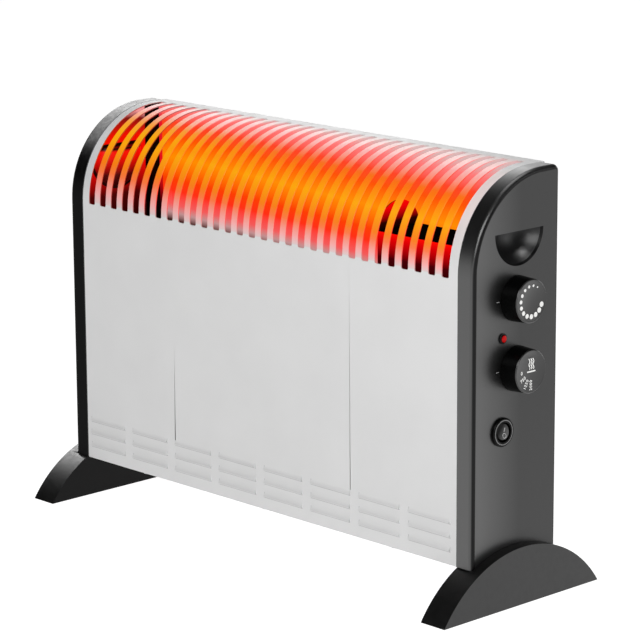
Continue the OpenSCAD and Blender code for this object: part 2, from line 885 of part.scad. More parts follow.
module thermal_cutout() {
    z = shield_top + 6;
    color([0.75, 0.73, 0.7]) {
        rod_x(shield_x0 - 6, shield_x0, cutout_r, shield_mid, z);
        rod_x(shield_x0 - 9, shield_x0 - 6, cutout_r - 2, shield_mid, z);
        for (s = [-1, 1])
            box([shield_x0 - 15, shield_mid + s * 3.5 - 0.4, z - 2.4],
                [shield_x0 - 8.5, shield_mid + s * 3.5 + 0.4, z + 2.4]);
    }
}

// Controls

module d_shaft(z, inner) {
    difference() {
        rod_x(inner, shaft_x1, shaft_r, 0, z);
        box([hub_x0, -shaft_r - 1, z + shaft_flat], [shaft_x1 + 1, shaft_r + 1, z + shaft_r + 1]);
    }
}

module hex_nut(z) {
    difference() {
        translate([cap_x, 0, z]) rotate([0, 90, 0]) cylinder(h = nut_t, r = nut_r, $fn = 6);
        rod_x(cap_x - 1, cap_x + nut_t + 1, bush_r + 0.1, 0, z);
    }
}

shaft_in = control_x0 + 6;

// Blind bore of a control for its shaft, and the threaded bush round it
module control_bush(z) {
    rod_x(cap_in - 1, cap_x + bush_out, bush_r, 0, z);
}

module control_bore(z) {
    rod_x(shaft_in - near, cap_x + bush_out + 1, shaft_r + shaft_fit, 0, z);
}

module terminal_tabs(z, y_list, drop) {
    for (y = y_list)
        box([control_x0 - 7, y - 0.4, z + drop - 3.1], [control_x0 + 0.5, y + 0.4, z + drop + 3.1]);
}

thermostat_half = 14;

module thermostat_body() {
    z = thermostat_z;
    plate = 1.6;
    color([0.62, 0.6, 0.55]) difference() {
        union() {
            box([cap_in - plate, -thermostat_half, z - 17], [cap_in, thermostat_half, z + 17]);
            box([control_x0, -9, z - 11], [cap_in - plate + 0.5, 9, z + 11]);
            for (s = [-1, 1])
                box([control_x0 + 3, -4, z + s * 14 - 0.6], [cap_in - plate + 0.5, 4, z + s * 14 + 0.6]);
            box([control_x0 + 3, -4, z - 14.6], [control_x0 + 4.2, 4, z + 14.6]);
            control_bush(z);
            terminal_tabs(z, [-5, 5], 0);
        }
        control_bore(z);
    }
}

module selector_body() {
    z = selector_z;
    color([0.13, 0.13, 0.14]) difference() {
        union() {
            rod_x(control_x0 + 3, cap_in, 14, 0, z);
            box([control_x0, -11, z - 11], [control_x0 + 3.5, 11, z + 11]);
            control_bush(z);
            terminal_tabs(z, [-7, 0, 7], -4);
        }
        control_bore(z);
    }
}

module thermostat_nut() {
    color("silver") hex_nut(thermostat_z);
}

module selector_nut() {
    color("silver") hex_nut(selector_z);
}

module thermostat_shaft() {
    color("gainsboro") d_shaft(thermostat_z, shaft_in);
}

module selector_shaft() {
    color("gainsboro") d_shaft(selector_z, shaft_in);
}

// A hollow knob: tapered skirt, chamfered face, hub with a D-shaped socket, four webs
module knob(z) {
    chamfer = 0.8;
    top_r = knob_d / 2;
    low_r = knob_skirt_d / 2;
    length = knob_x1 - knob_x0;
    face_r = top_r - chamfer;
    inner_x1 = knob_x1 - knob_face_t;
    socket_end = shaft_x1 + 0.2;
    translate([0, 0, z]) difference() {
        union() {
            difference() {
                union() {
                    translate([knob_x0, 0, 0]) rotate([0, 90, 0])
                        cylinder(h = length - chamfer, r1 = low_r, r2 = top_r);
                    translate([knob_x1 - chamfer, 0, 0]) rotate([0, 90, 0])
                        cylinder(h = chamfer, r1 = top_r, r2 = face_r);
                }
                rod_x(knob_x0 - 1, inner_x1, top_r - knob_wall);
            }
            rod_x(hub_x0, inner_x1 + 0.5, hub_r);
            for (a = [45 : 90 : 315]) rotate([a, 0, 0])
                box([hub_x0 + 2, hub_r - 1, -0.6], [inner_x1 + 0.5, top_r - knob_wall + 0.5, 0.6]);
        }
        difference() {
            rod_x(hub_x0 - 1, socket_end, shaft_r + shaft_fit);
            box([hub_x0 - 2, -shaft_r - 1, shaft_flat + clip_t + 2 * shaft_fit],
                [socket_end + 1, shaft_r + 1, shaft_r + 1]);
        }
    }
}

// The leaf spring between a shaft's flat and its knob
module knob_clip(z) {
    low = z + shaft_flat + shaft_fit;
    box([hub_x0 + 0.5, -1.8, low], [shaft_x1 - 0.5, 1.8, low + clip_t]);
}

module thermostat_knob() {
    color([0.22, 0.22, 0.23]) knob(thermostat_z);
}

module selector_knob() {
    color([0.22, 0.22, 0.23]) knob(selector_z);
}

module thermostat_knob_clip() {
    color("silver") knob_clip(thermostat_z);
}

module selector_knob_clip() {
    color("silver") knob_clip(selector_z);
}

// Round rocker switch

switch_depth = 20;
switch_floor_x = pivot_x - ball_r - 1;

module switch_housing() {
    bezel_r = bezel_d / 2;
    color([0.08, 0.08, 0.09]) translate([0, small_at, switch_z]) difference() {
        union() {
            rod_x(cap_x - switch_depth, cap_x + 0.5, barrel_r);
            translate([cap_x, 0, 0]) rotate([0, 90, 0]) {
                cylinder(h = bezel_h - 0.8, r = bezel_r);
                translate([0, 0, bezel_h - 0.8]) cylinder(h = 0.8, r1 = bezel_r, r2 = bezel_r - 0.8);
            }
            for (s = [-1, 0, 1])
                box([cap_x - switch_depth - 7, -2.4, s * 5.5 - 0.4], [cap_x - switch_depth + 0.5, 2.4, s * 5.5 + 0.4]);
        }
        rod_x(switch_floor_x, cap_x + bezel_h + 1, well_r);
        rod_y(-barrel_r - 1, barrel_r + 1, pin_r + shaft_fit, pivot_x, 0);
    }
}

module switch_rocker() {
    dish_r = 34;
    dish_x = 4.6;
    pin_end = barrel_r - near;
    color([0.07, 0.07, 0.08]) translate([pivot_x, small_at, switch_z])
        rotate([0, -rocker_swing / 2, 0]) {
            difference() {
                intersection() {
                    rotate([0, 90, 0]) sphere(ball_r, $fn = 96);
                    box([-4, -ball_r - 1, -ball_r - 1], [ball_r + 1, ball_r + 1, ball_r + 1]);
                }
                rod_y(-ball_r - 1, ball_r + 1, dish_r, dish_r + dish_x, 0);
            }
            rod_y(-pin_end, pin_end, pin_r);
        }
}

// Indicator lamp

module lamp_holder() {
    ring_r = lamp_ring_d / 2;
    color([0.06, 0.06, 0.07]) translate([0, small_at, lamp_z]) difference() {
        union() {
            rod_x(cap_x - lamp_depth, cap_x + 0.5, lamp_barrel_r);
            rod_x(cap_x, cap_x + ring_out, ring_r);
        }
        rod_x(cap_x - lamp_depth + 1.5, cap_x + ring_out + 1, lens_r - 0.6);
    }
}

module lamp_lens() {
    r = lens_r - 0.6 - 0.05;
    dome_r = lamp_ring_d / 2 - 1;
    color([0.85, 0.05, 0.05]) translate([0, small_at, lamp_z]) {
        rod_x(cap_x - lamp_depth + 1.5, cap_x + ring_out, r);
        translate([cap_x + ring_out, 0, 0]) rotate([0, 90, 0]) {
            cylinder(h = 0.3, r = dome_r);
            translate([0, 0, 0.3]) cylinder(h = 0.7, r1 = dome_r, r2 = 0.8 * dome_r);
            translate([0, 0, 1]) cylinder(h = 0.5, r1 = 0.8 * dome_r, r2 = 0.45 * dome_r);
        }
    }
}

// Terminal block on the shield's wall, and the cord's inlet bush

block_w = 30;
block_h = 18;
block_z = case_base + 30;
block_x = shield_x0 + sheet_t;
block_depth = 14;

module terminal_block() {
    color([0.9, 0.89, 0.85]) difference() {
        box([block_x, shield_mid - block_w / 2, block_z], [block_x + block_depth, shield_mid + block_w / 2, block_z + block_h]);
        for (i = [-1, 0, 1]) {
            y = shield_mid + i * 9.5;
            rod_z(block_z - 1, block_z + block_h + 1, 1.9, block_x + 9, y);
            rod_x(block_x + 9, block_x + block_depth + 1, 1.7, y, block_z + block_h / 2);
        }
    }
}

module cord_bush() {
    grow = cord_r + cord_wall;
    color([0.1, 0.1, 0.1]) difference() {
        union() {
            rod_y(rear_y0 - 3, rear_y1 + 1, grow, cord_x, cord_z);
            rod_y(rear_y1, rear_y1 + cord_lip, grow + cord_lip, cord_x, cord_z);
            rod_y(rear_y0 - 3, rear_y0, grow + 1, cord_x, cord_z);
        }
        rod_y(rear_y0 - 5, rear_y1 + cord_lip + 1, cord_r, cord_x, cord_z);
    }
}

// Leads, from terminal to terminal inside the shield

tab_x = control_x0 - 7;
switch_tab_x = cap_x - switch_depth - 7;

lead_routes = [
    [ // small coil to the selector
        [right_tail_x, -coil_gap_y / 2, coil_z], [right_tail_x + 14, -coil_gap_y / 2, coil_z],
        [tab_x - 40, -14, selector_z - 12], [tab_x - 12, -7, selector_z - 4], [tab_x, -7, selector_z - 4],
    ],
    [ // large coil to the selector
        [right_tail_x, coil_gap_y / 2, coil_z], [right_tail_x + 14, coil_gap_y / 2, coil_z],
        [tab_x - 40, 14, selector_z - 12], [tab_x - 12, 7, selector_z - 4], [tab_x, 7, selector_z - 4],
    ],
    [ // selector to the thermostat
        [tab_x, 0, selector_z - 4], [tab_x - 10, 0, selector_z - 4], [tab_x - 18, 2, selector_z + 20],
        [tab_x - 12, 5, thermostat_z], [tab_x, 5, thermostat_z],
    ],
    [ // thermostat to the switch
        [tab_x, -5, thermostat_z], [tab_x - 12, -5, thermostat_z], [tab_x - 26, -16, selector_z + 20],
        [tab_x - 26, -22, selector_z - 20], [switch_tab_x - 12, small_at, switch_z + 5.5],
        [switch_tab_x, small_at, switch_z + 5.5],
    ],
    [ // terminal block to the switch
        [block_x + block_depth, shield_mid, block_z + block_h / 2],
        [block_x + block_depth + 14, shield_mid, block_z + block_h / 2],
        [switch_tab_x - 30, small_at, switch_z - 30], [switch_tab_x - 12, small_at, switch_z - 5.5],
        [switch_tab_x, small_at, switch_z - 5.5],
    ],
    [ // lamp to the switch
        [cap_x - lamp_depth, small_at, lamp_z], [cap_x - lamp_depth - 14, small_at, lamp_z],
        [switch_tab_x - 18, small_at + 8, switch_z + 30], [switch_tab_x - 12, small_at + 3, switch_z],
        [switch_tab_x - 4, small_at, switch_z], [switch_tab_x, small_at, switch_z],
    ],
];

// Rounds a route's corners by cutting them twice
function cut_corners(p) = concat(
    [p[0]],
    [for (i = [0 : len(p) - 2]) each [0.75 * p[i] + 0.25 * p[i + 1], 0.25 * p[i] + 0.75 * p[i + 1]]],
    [p[len(p) - 1]]
);

module leads() {
    color([0.75, 0.7, 0.6]) for (route = lead_routes)
        sweep(cut_corners(cut_corners(route)), lead_r, lead_sides);
}

front_panel();
rear_panel();
bottom_grille();
rear_liner();
left_cap();
right_cap();
left_grip_cup();
right_grip_cup();
left_foot();
right_foot();
foot_screws();
rear_screws();
base_screws();
shield_screws();
plate_screws();
control_shield();
left_element_plate();
mid_element_plate();
right_element_plate();
element_rails();
end_ceramics();
mid_ceramics();
small_coil();
large_coil();
coil_link();
thermal_cutout();
thermostat_body();
thermostat_nut();
thermostat_shaft();
thermostat_knob();
thermostat_knob_clip();
selector_body();
selector_nut();
selector_shaft();
selector_knob();
selector_knob_clip();
switch_housing();
switch_rocker();
lamp_holder();
lamp_lens();
terminal_block();
cord_bush();
leads();
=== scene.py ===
# %% [markdown]
# # A convector heater, dressed around its solids
#
# The solids of the heater come from a CAD model: steel case, plastic end caps, feet, controls and
# heating coils, each at its real size. Here they get what a solid model lacks: soft edges, printed
# marks, powder coat, grained plastic and the glow of the hot wires. Nothing is moved or resized.

# %% Load the solids
import math

import bpy
from mathutils import Matrix, Vector


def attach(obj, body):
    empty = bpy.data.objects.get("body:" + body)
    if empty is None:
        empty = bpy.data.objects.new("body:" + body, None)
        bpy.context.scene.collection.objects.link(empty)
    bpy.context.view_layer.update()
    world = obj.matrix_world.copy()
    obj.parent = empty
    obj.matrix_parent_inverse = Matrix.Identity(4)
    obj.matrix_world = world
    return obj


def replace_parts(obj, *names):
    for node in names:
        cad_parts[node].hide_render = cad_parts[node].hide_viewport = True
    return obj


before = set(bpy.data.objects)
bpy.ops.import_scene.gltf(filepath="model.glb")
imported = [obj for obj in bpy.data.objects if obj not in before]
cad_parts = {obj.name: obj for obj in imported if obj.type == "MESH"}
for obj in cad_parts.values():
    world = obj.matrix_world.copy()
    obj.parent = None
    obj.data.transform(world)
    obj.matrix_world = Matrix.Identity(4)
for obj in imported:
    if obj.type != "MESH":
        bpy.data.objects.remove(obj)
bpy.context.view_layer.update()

# %% [markdown]
# ## The camera
#
# The photograph looks at the control end from the right and from a little above. A long lens keeps
# the edges nearly parallel. The camera's place and its three turns were fitted to the corners of the
# case, so they are plain numbers.

# %% Place the camera
CAMERA_AT = (1.97905, -1.87060, 0.84431)
CAMERA_TURN = 0.80730
CAMERA_DIP = 0.22846
CAMERA_ROLL = -0.00533
LENS = 168.65

camera = bpy.data.objects.new("camera", bpy.data.cameras.new("camera"))
bpy.context.scene.collection.objects.link(camera)
camera.data.lens = LENS
camera.data.sensor_width = 36
camera.data.clip_end = 50
turn = Matrix.Rotation(CAMERA_TURN, 4, "Z")
dip = Matrix.Rotation(math.pi / 2 - CAMERA_DIP, 4, "X")
roll = Matrix.Rotation(CAMERA_ROLL, 4, "Z")
camera.matrix_world = Matrix.Translation(CAMERA_AT) @ turn @ dip @ roll
bpy.context.scene.camera = camera
print("lens:", LENS, "mm")

# %% [markdown]
# ## Helpers
#
# An operator acts on whatever is selected, so every step starts by selecting one piece alone. A
# finished piece keeps its place in its mesh, with its object at the origin, as the solids do.

# %% Select, settle and hand over a piece
MM = 0.001


def pick(piece):
    """Selects one piece alone and makes it active."""
    bpy.ops.object.select_all(action="DESELECT")
    piece.select_set(True)
    bpy.context.view_layer.objects.active = piece


def edit(piece, select="DESELECT"):
    """Opens one piece in edit mode, with all or nothing selected."""
    pick(piece)
    bpy.ops.object.mode_set(mode="EDIT")
    bpy.ops.mesh.select_mode(type="FACE")
    bpy.ops.mesh.select_all(action=select)


def done():
    bpy.ops.object.mode_set(mode="OBJECT")


def apply_modifiers(piece):
    pick(piece)
    for modifier in list(piece.modifiers):
        bpy.ops.object.modifier_apply(modifier=modifier.name)


def settle(piece):
    """Moves the piece's place and turn into its mesh."""
    pick(piece)
    bpy.ops.object.transform_apply(location=True, rotation=True, scale=True)


def hand_over(piece, name, body, slot, finish):
    """Names, shades and paints a finished piece, and lets it ride on its body."""
    settle(piece)
    piece.name = name
    piece.data.name = name
    bpy.ops.object.shade_smooth_by_angle(angle=math.radians(35))
    weighted = piece.modifiers.new("weighted", "WEIGHTED_NORMAL")
    weighted.keep_sharp = True
    apply_modifiers(piece)
    piece.data.materials.clear()
    piece.data.materials.append(finish)
    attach(piece, body)
    print(name, "has", len(piece.data.polygons), "faces")
    return piece


def select_faces(piece, wanted):
    """In edit mode, selects the faces for which wanted(centre, normal) is true."""
    bpy.ops.mesh.select_all(action="DESELECT")
    done()
    for face in piece.data.polygons:
        face.select = wanted(face.center, face.normal)
    bpy.ops.object.mode_set(mode="EDIT")


print("helpers:", [helper.__name__ for helper in (pick, edit, done, settle, hand_over, select_faces)])

# %% [markdown]
# ## Finishes
#
# Each finish is a node material on the Principled shader. Real surfaces vary in three ways that the
# eye reads at once: colour drifts a little, gloss is uneven, and there is a fine relief. One builder
# sets these three up from noise at a real scale in metres, and each finish picks its own amounts.
#
# Blender mixes light in linear values, where half as much is half as bright. A colour picked on a
# screen has to be turned into such values first.

# %% Helpers for colours and nodes


def colour(red, green, blue):
    """A screen colour, 0 to 255, as the linear values that Blender mixes."""
    shares = [level / 255 for level in (red, green, blue)]
    linear = [share / 12.92 if share <= 0.04045 else ((share + 0.055) / 1.055) ** 2.4 for share in shares]
    return (*linear, 1.0)


def feed(tree, socket, value):
    """Sets a socket to a value, or links another socket to it."""
    if isinstance(value, bpy.types.NodeSocket):
        tree.links.new(value, socket)
    else:
        socket.default_value = value


def map_range(tree, value, *numbers):
    """Maps a value from one range to another, and stays inside it."""
    node = tree.nodes.new("ShaderNodeMapRange")
    feed(tree, node.inputs["Value"], value)
    for key, number in zip(("From Min", "From Max", "To Min", "To Max"), numbers):
        feed(tree, node.inputs[key], number)
    return node.outputs["Result"]


print("middle grey on a screen is", round(colour(128, 128, 128)[0], 3), "in linear values")

# %% [markdown]
# Each small helper of the builder adds one node and returns its output, so that helpers can be nested
# like sums. The larger ones, such as drift and relief, return the finish and can be chained. That is
# easier to read than a list of nodes and links, and it draws the same tree.

# %% A builder for finishes


class Finish:
    """A material on one Principled shader, with helpers that add nodes to it."""

    def __init__(self, name, base, roughness, metallic=0.0):
        self.material = bpy.data.materials.new(name)
        self.material.use_nodes = True
        self.tree = self.material.node_tree
        self.nodes = self.tree.nodes
        self.links = self.tree.links
        self.shader = self.nodes["Principled BSDF"]
        self.base = base
        self.shader.inputs["Base Color"].default_value = base
        self.shader.inputs["Roughness"].default_value = roughness
        self.shader.inputs["Metallic"].default_value = metallic
        self.place = self.nodes.new("ShaderNodeTexCoord").outputs["Object"]

    def put(self, kind, **values):
        """Adds a node. A value names a socket or a setting of the node, and a socket can be a link."""
        node = self.nodes.new("ShaderNode" + kind)
        for key, value in values.items():
            title = key.replace("_", " ").title()
            if title in node.inputs:
                feed(self.tree, node.inputs[title], value)
            elif key in node.inputs:
                feed(self.tree, node.inputs[key], value)
            else:
                setattr(node, key, value)
        return node

    def maths(self, operation, first, second=0.0):
        """One sum or comparison of two numbers or sockets."""
        node = self.nodes.new("ShaderNodeMath")
        node.operation = operation
        for socket, value in zip(node.inputs, (first, second)):
            feed(self.tree, socket, value)
        return node.outputs[0]

    def noise(self, size):
        """Cloudy noise whose patches measure about size metres."""
        return self.put("TexNoise", vector=self.place, scale=1 / size, detail=2.0).outputs["Fac"]

    def spread(self, value, low, high):
        """Stretches noise, which stays between 0.35 and 0.65, to the range low to high."""
        return map_range(self.tree, value, 0.35, 0.65, low, high)

    def between(self, value, low, high):
        """0 below low, 1 above high, and a straight climb between them."""
        return map_range(self.tree, value, low, high, 0.0, 1.0)

    def ramp(self, value, stops):
        """A colour ramp from (position, colour) pairs."""
        node = self.put("ValToRGB", Fac=value)
        elements = node.color_ramp.elements
        while len(elements) < len(stops):
            elements.new(0.5)
        for element, (position, _) in zip(elements, stops):
            element.position = position
        for element, (_, tint) in zip(elements, stops):
            element.color = tint
        return node.outputs["Color"]

    def mix(self, share, first, second, blend="MIX"):
        """The first colour at share 0, the second one at share 1."""
        node = self.nodes.new("ShaderNodeMix")
        node.data_type = "RGBA"
        node.blend_type = blend
        for place, value in zip((0, 6, 7), (share, first, second)):
            feed(self.tree, node.inputs[place], value)
        return node.outputs[2]

    def recolour(self, tint):
        """Gives the shader another base colour, which may change from place to place."""
        self.links.new(tint, self.shader.inputs["Base Color"])
        return self

    def drift(self, size, amount):
        """Lets the base colour drift a little lighter and darker over patches of that size."""
        low = [max(0.0, c * (1 - amount)) for c in self.base[:3]]
        high = [min(1.0, c * (1 + amount)) for c in self.base[:3]]
        share = self.spread(self.noise(size), 0.0, 1.0)
        self.tint = self.mix(share, (*low, 1), (*high, 1))
        return self.recolour(self.tint)

    def gloss(self, size, low, high):
        self.links.new(self.spread(self.noise(size), low, high), self.shader.inputs["Roughness"])
        return self

    def relief(self, size, depth, height=None):
        """Fine relief: bumps about size metres wide and depth metres high."""
        bump = self.put("Bump", Height=height or self.noise(size), Distance=depth, Strength=1.0)
        self.links.new(bump.outputs["Normal"], self.shader.inputs["Normal"])
        return self

    def coordinate(self, axis):
        if not hasattr(self, "split"):
            self.split = self.put("SeparateXYZ", vector=self.place)
        return self.split.outputs[axis]

    def facing(self, axis):
        """The surface normal's part along one axis."""
        if not hasattr(self, "normal"):
            geometry = self.nodes.new("ShaderNodeNewGeometry").outputs["Normal"]
            self.normal = self.put("SeparateXYZ", vector=geometry)
        return self.normal.outputs[axis]

    def glow(self, tint, strength=1.0):
        self.links.new(tint, self.shader.inputs["Emission Color"])
        self.shader.inputs["Emission Strength"].default_value = strength
        return self


print("finishes are built from", Finish.__doc__.lower())

# %% [markdown]
# ### Powder coat
#
# The case is steel with a light grey powder coat: satin, with a faint orange peel about 1 mm wide. A
# dull base under a thin clear layer gives that soft shine. The rear panel and the bottom grille have
# the same paint in their own tones.

# %% Paint for the sheet metal
CURVE_Y = 33.5 * MM
CURVE_Z = 298 * MM
BLACK = (0.0, 0.0, 0.0, 1.0)


def paint(name, tone):
    finish = Finish(name, colour(*tone), 0.42)
    finish.shader.inputs["Coat Weight"].default_value = 0.12
    finish.shader.inputs["Coat Roughness"].default_value = 0.25
    finish.drift(60 * MM, 0.015).gloss(8 * MM, 0.38, 0.47).relief(1.1 * MM, 0.012 * MM)
    return finish


case_paint = paint("powder_coat", (218, 218, 218))
rear_paint = paint("rear_powder_coat", (216, 216, 216))
grille_paint = paint("grille_coat", (196, 197, 198))
print("paints:", [finish.material.name for finish in (case_paint, rear_paint, grille_paint)])

# %% [markdown]
# ### Masks
#
# A finish often changes from place to place, as where a wall is lit by the heat and the face beside
# it isn't. Painting by hand needs an unwrapped mesh. Here a mask is made from tests on the place and
# on the normal instead, which is sharp at any distance and needs nothing but numbers.

# %% Masks from tests


def both(finish, *tests):
    """1 where every test holds. A test is (value, "LESS_THAN" or "GREATER_THAN", limit)."""
    product = 1.0
    for value, operation, limit in tests:
        product = finish.maths("MULTIPLY", product, finish.maths(operation, value, limit))
    return product


def distance(finish, value, centre=0.0):
    """How far a value is from a centre, on either side."""
    return finish.maths("ABSOLUTE", finish.maths("SUBTRACT", value, centre) if centre else value)


def inverse(finish, share):
    return finish.maths("SUBTRACT", 1.0, share)


print("masks:", both.__doc__)

# %% [markdown]
# ### The bright liner
#
# Behind the slots a bright liner stands in front of the rear wall. Its glow is painted light, standing in
# for the light of the hot coils: it shines dusty pink at the foot of the slots, then red, orange where it is
# hottest, red again and pale pink at the top, as rising heat does in a picture of such a heater. The height
# drives a colour ramp. The rear panel gets the same ramp of painted glow on its inner face, where it shows
# beside the liner.

# %% Heat by the height
GLOW_LOW = 256 * MM
GLOW_HIGH = 386 * MM
GLOW_TILT = 0.04
UNLIT_LINER = colour(60, 20, 4)

# Height on the liner in mm, the angle of the slot that shows it, and its painted glow as a colour
LINER_GLOW = [
    (256, -4, (40, 10, 10)),     # dark at the foot of the slots
    (264, 0, (190, 145, 145)),   # dusty pink where they start
    (272, 5, (240, 90, 90)),
    (286, 14, (255, 45, 20)),    # red
    (298, 21, (250, 60, 0)),
    (320, 35, (255, 140, 0)),    # orange, the hottest
    (341, 50, (250, 80, 0)),     # red again
    (355, 61, (250, 65, 35)),
    (370, 75, (250, 120, 120)),  # pink
    (382, 88, (215, 180, 180)),  # pale at the top
]


def climb(finish, height=None):
    """0 at the lowest height that shows through the slots, 1 at the highest."""
    return finish.between(height or finish.coordinate(2), GLOW_LOW, GLOW_HIGH)


def painted_glow_by_height(finish):
    """The liner's painted glow at each height, which comes a little lower towards the control end."""
    tilt = finish.maths("MULTIPLY", finish.coordinate(0), GLOW_TILT)
    tilted = finish.maths("ADD", finish.coordinate(2), tilt)
    span = GLOW_HIGH - GLOW_LOW
    stops = [((height * MM - GLOW_LOW) / span, colour(*light)) for height, _, light in LINER_GLOW]
    return finish.ramp(climb(finish, tilted), stops)


liner = Finish("bright_liner", UNLIT_LINER, 0.5)
liner.shader.inputs["Specular IOR Level"].default_value = 0.1
liner.drift(30 * MM, 0.05).relief(3 * MM, 0.02 * MM)
# The liner's glow is painted light.
liner.glow(painted_glow_by_height(liner))

# The rear panel's inner face gets the same painted glow, over the liner's unlit colour.
inside = rear_paint.maths("LESS_THAN", rear_paint.facing(1), -0.7)
rear_tint = rear_paint.mix(inside, rear_paint.tint, UNLIT_LINER)
rear_paint.recolour(rear_tint)
rear_paint.glow(rear_paint.mix(inside, BLACK, painted_glow_by_height(rear_paint)))
print("heat from", round(1000 * GLOW_LOW), "to", round(1000 * GLOW_HIGH), "mm in", len(LINER_GLOW), "stops")

# %% [markdown]
# ### Heat on the bars of the case
#
# The coils light the curved bars between the slots from inside, most in the middle of the curve.
# Lamps inside would need many samples to come clean through the slots, so the bars shine by
# themselves. The angle round the curve's centre drives the ramps, so the glow is fixed to the sheet
# and looks right from every side.

# %% Ramps by the angle round the curve
RAMP_TURNS = 1.25


def quarter_turns(finish):
    """The angle round the curve's centre: 0 at the front, 1 at the top."""
    up = finish.maths("SUBTRACT", finish.coordinate(2), CURVE_Z)
    ahead = finish.maths("SUBTRACT", CURVE_Y, finish.coordinate(1))
    return finish.maths("DIVIDE", finish.maths("ARCTAN2", up, ahead), math.pi / 2)


def by_degrees(finish, turns, stops):
    """A ramp over the angle, from (degrees, colour) pairs. It reaches to 112.5 degrees."""
    share = finish.maths("DIVIDE", turns, RAMP_TURNS)
    return finish.ramp(share, [(degrees / 90 / RAMP_TURNS, (*light, 1)) for degrees, light in stops])


print("ramps reach to", 90 * RAMP_TURNS, "degrees")

# %% [markdown]
# The bars are brightest about 35 degrees up the curve, and a little lower towards the control end.
# Towards the other end some green and blue are added high on the curve, which turns the red there
# into orange and pink. The paint under the glow is darkened, or the sum of both would be white.

# %% Glow of the bars
BARS_END = 241.4 * MM
LEAN = 1.55

turns = quarter_turns(case_paint)
bow = case_paint.maths("MULTIPLY", turns, inverse(case_paint, turns))
lean = case_paint.maths("MULTIPLY", case_paint.maths("MULTIPLY", bow, case_paint.coordinate(0)), LEAN)
leaning = case_paint.maths("ADD", turns, lean)
bar_glow = by_degrees(case_paint, leaning, [
    (-3, (0.0, 0.0, 0.0)), (0, (0.1, 0.0, 0.0)), (5, (0.43, 0.0, 0.0)), (15, (0.75, 0.11, 0.0)),
    (35, (0.83, 0.36, 0.0)), (50, (0.83, 0.17, 0.0)), (60, (0.76, 0.09, 0.0)), (72, (0.48, 0.01, 0.0)),
    (80, (0.4, 0.075, 0.05)), (95, (0.0, 0.0, 0.0)),
])
late_glow = by_degrees(case_paint, turns, [
    (44, (0.0, 0.0, 0.0)), (50, (0.0, 0.12, 0.0)), (58, (0.0, 0.17, 0.02)), (66, (0.0, 0.19, 0.13)),
    (78, (0.0, 0.0, 0.0)),
])
to_the_left = case_paint.between(case_paint.coordinate(0), 0.0, -160 * MM)
all_glow = case_paint.mix(to_the_left, bar_glow, late_glow, "ADD")
# Share of the paint that is darkened under the bars' painted glow.
heat = by_degrees(case_paint, leaning, [(degrees, 3 * [grey]) for degrees, grey in (
    (-2, 0.0), (0, 0.15), (15, 0.93), (20, 1.0), (55, 1.0), (60, 0.83), (76, 0.0),
)])
from_middle = distance(case_paint, case_paint.coordinate(0))
barred = case_paint.maths("LESS_THAN", from_middle, BARS_END)
under_glow = case_paint.maths("MULTIPLY", heat, barred)
tint_under_painted_glow = case_paint.mix(under_glow, case_paint.tint, (0.19, 0.032, 0.0, 1))
print("the bars glow up to", round(1000 * BARS_END), "mm from the middle")

# %% [markdown]
# ### Heat on the end strips and on the walls of the slots
#
# Between the last slot and each cap a strip of sheet has no slots. It gets a faint painted glow, which is
# redder at the control end. The rolled edges of the slots face the liner, so they get its unlit colour and
# its painted glow, and the slots look as wide as they are. At the left, where the dark cap is behind the
# slots, the painted glow of these edges is darker.

# %% Glow on strips and slot walls
WALL_START = 0.1
WALL_SPAN = 1.2
SLOTS_FROM_Z = 294 * MM
SLOTS_TO_X = 242 * MM

end_share = by_degrees(case_paint, turns, [(degrees, 3 * [grey]) for degrees, grey in (
    (10, 0.0), (25, 0.5), (40, 1.0), (58, 1.0), (68, 0.8), (78, 0.0),
)])
right_half = case_paint.maths("GREATER_THAN", case_paint.coordinate(0), 0.0)
end_tint = case_paint.mix(right_half, (0.13, 0.13, 0.135, 1), (0.19, 0.085, 0.07, 1))
end_glow = case_paint.mix(1.0, end_share, end_tint, "MULTIPLY")
outer_glow = case_paint.mix(barred, end_glow, all_glow)

wall_share = case_paint.maths("DIVIDE", case_paint.maths("ADD", turns, WALL_START), WALL_SPAN)
wall_glow = case_paint.ramp(wall_share, [
    ((degrees / 90 + WALL_START) / WALL_SPAN, colour(*light)) for _, degrees, light in LINER_GLOW
])
first_slots = case_paint.between(case_paint.coordinate(0), -150 * MM, -175 * MM)
darker = case_paint.maths("MULTIPLY", first_slots, 0.6)
wall_glow = case_paint.mix(darker, wall_glow, colour(90, 4, 4))
rolled_edge = case_paint.between(distance(case_paint, case_paint.facing(0)), 0.1, 0.5)
at_slots = both(case_paint, (case_paint.coordinate(2), "GREATER_THAN", SLOTS_FROM_Z),
                (from_middle, "LESS_THAN", SLOTS_TO_X))
slot_wall = case_paint.maths("MULTIPLY", at_slots, rolled_edge)
case_paint.glow(case_paint.mix(slot_wall, outer_glow, wall_glow))
print("the slots' walls take their colours from", len(LINER_GLOW), "stops")

# %% [markdown]
# ### Fine lines on the case
#
# Under the lip of each louvre and at its left end there is a painted shadow, finer than the studio's soft
# lights can draw. At the left cap the sheet dips into the cap, and the shade in that seam is painted as a
# dark line. Both are masks on the base colour. The louvres repeat, so the fraction of x and z over their
# pitch finds them all with a few nodes.

# %% Painted shadows of the louvres and of the seam
LOUVRE_PITCH = 62.7 * MM
ROW_PITCH = 12.8 * MM
FIRST_LIP = 12.4 * MM
CASE_BASE = 40 * MM
FACE_Y = -54 * MM
SEAM_X = -250.8 * MM

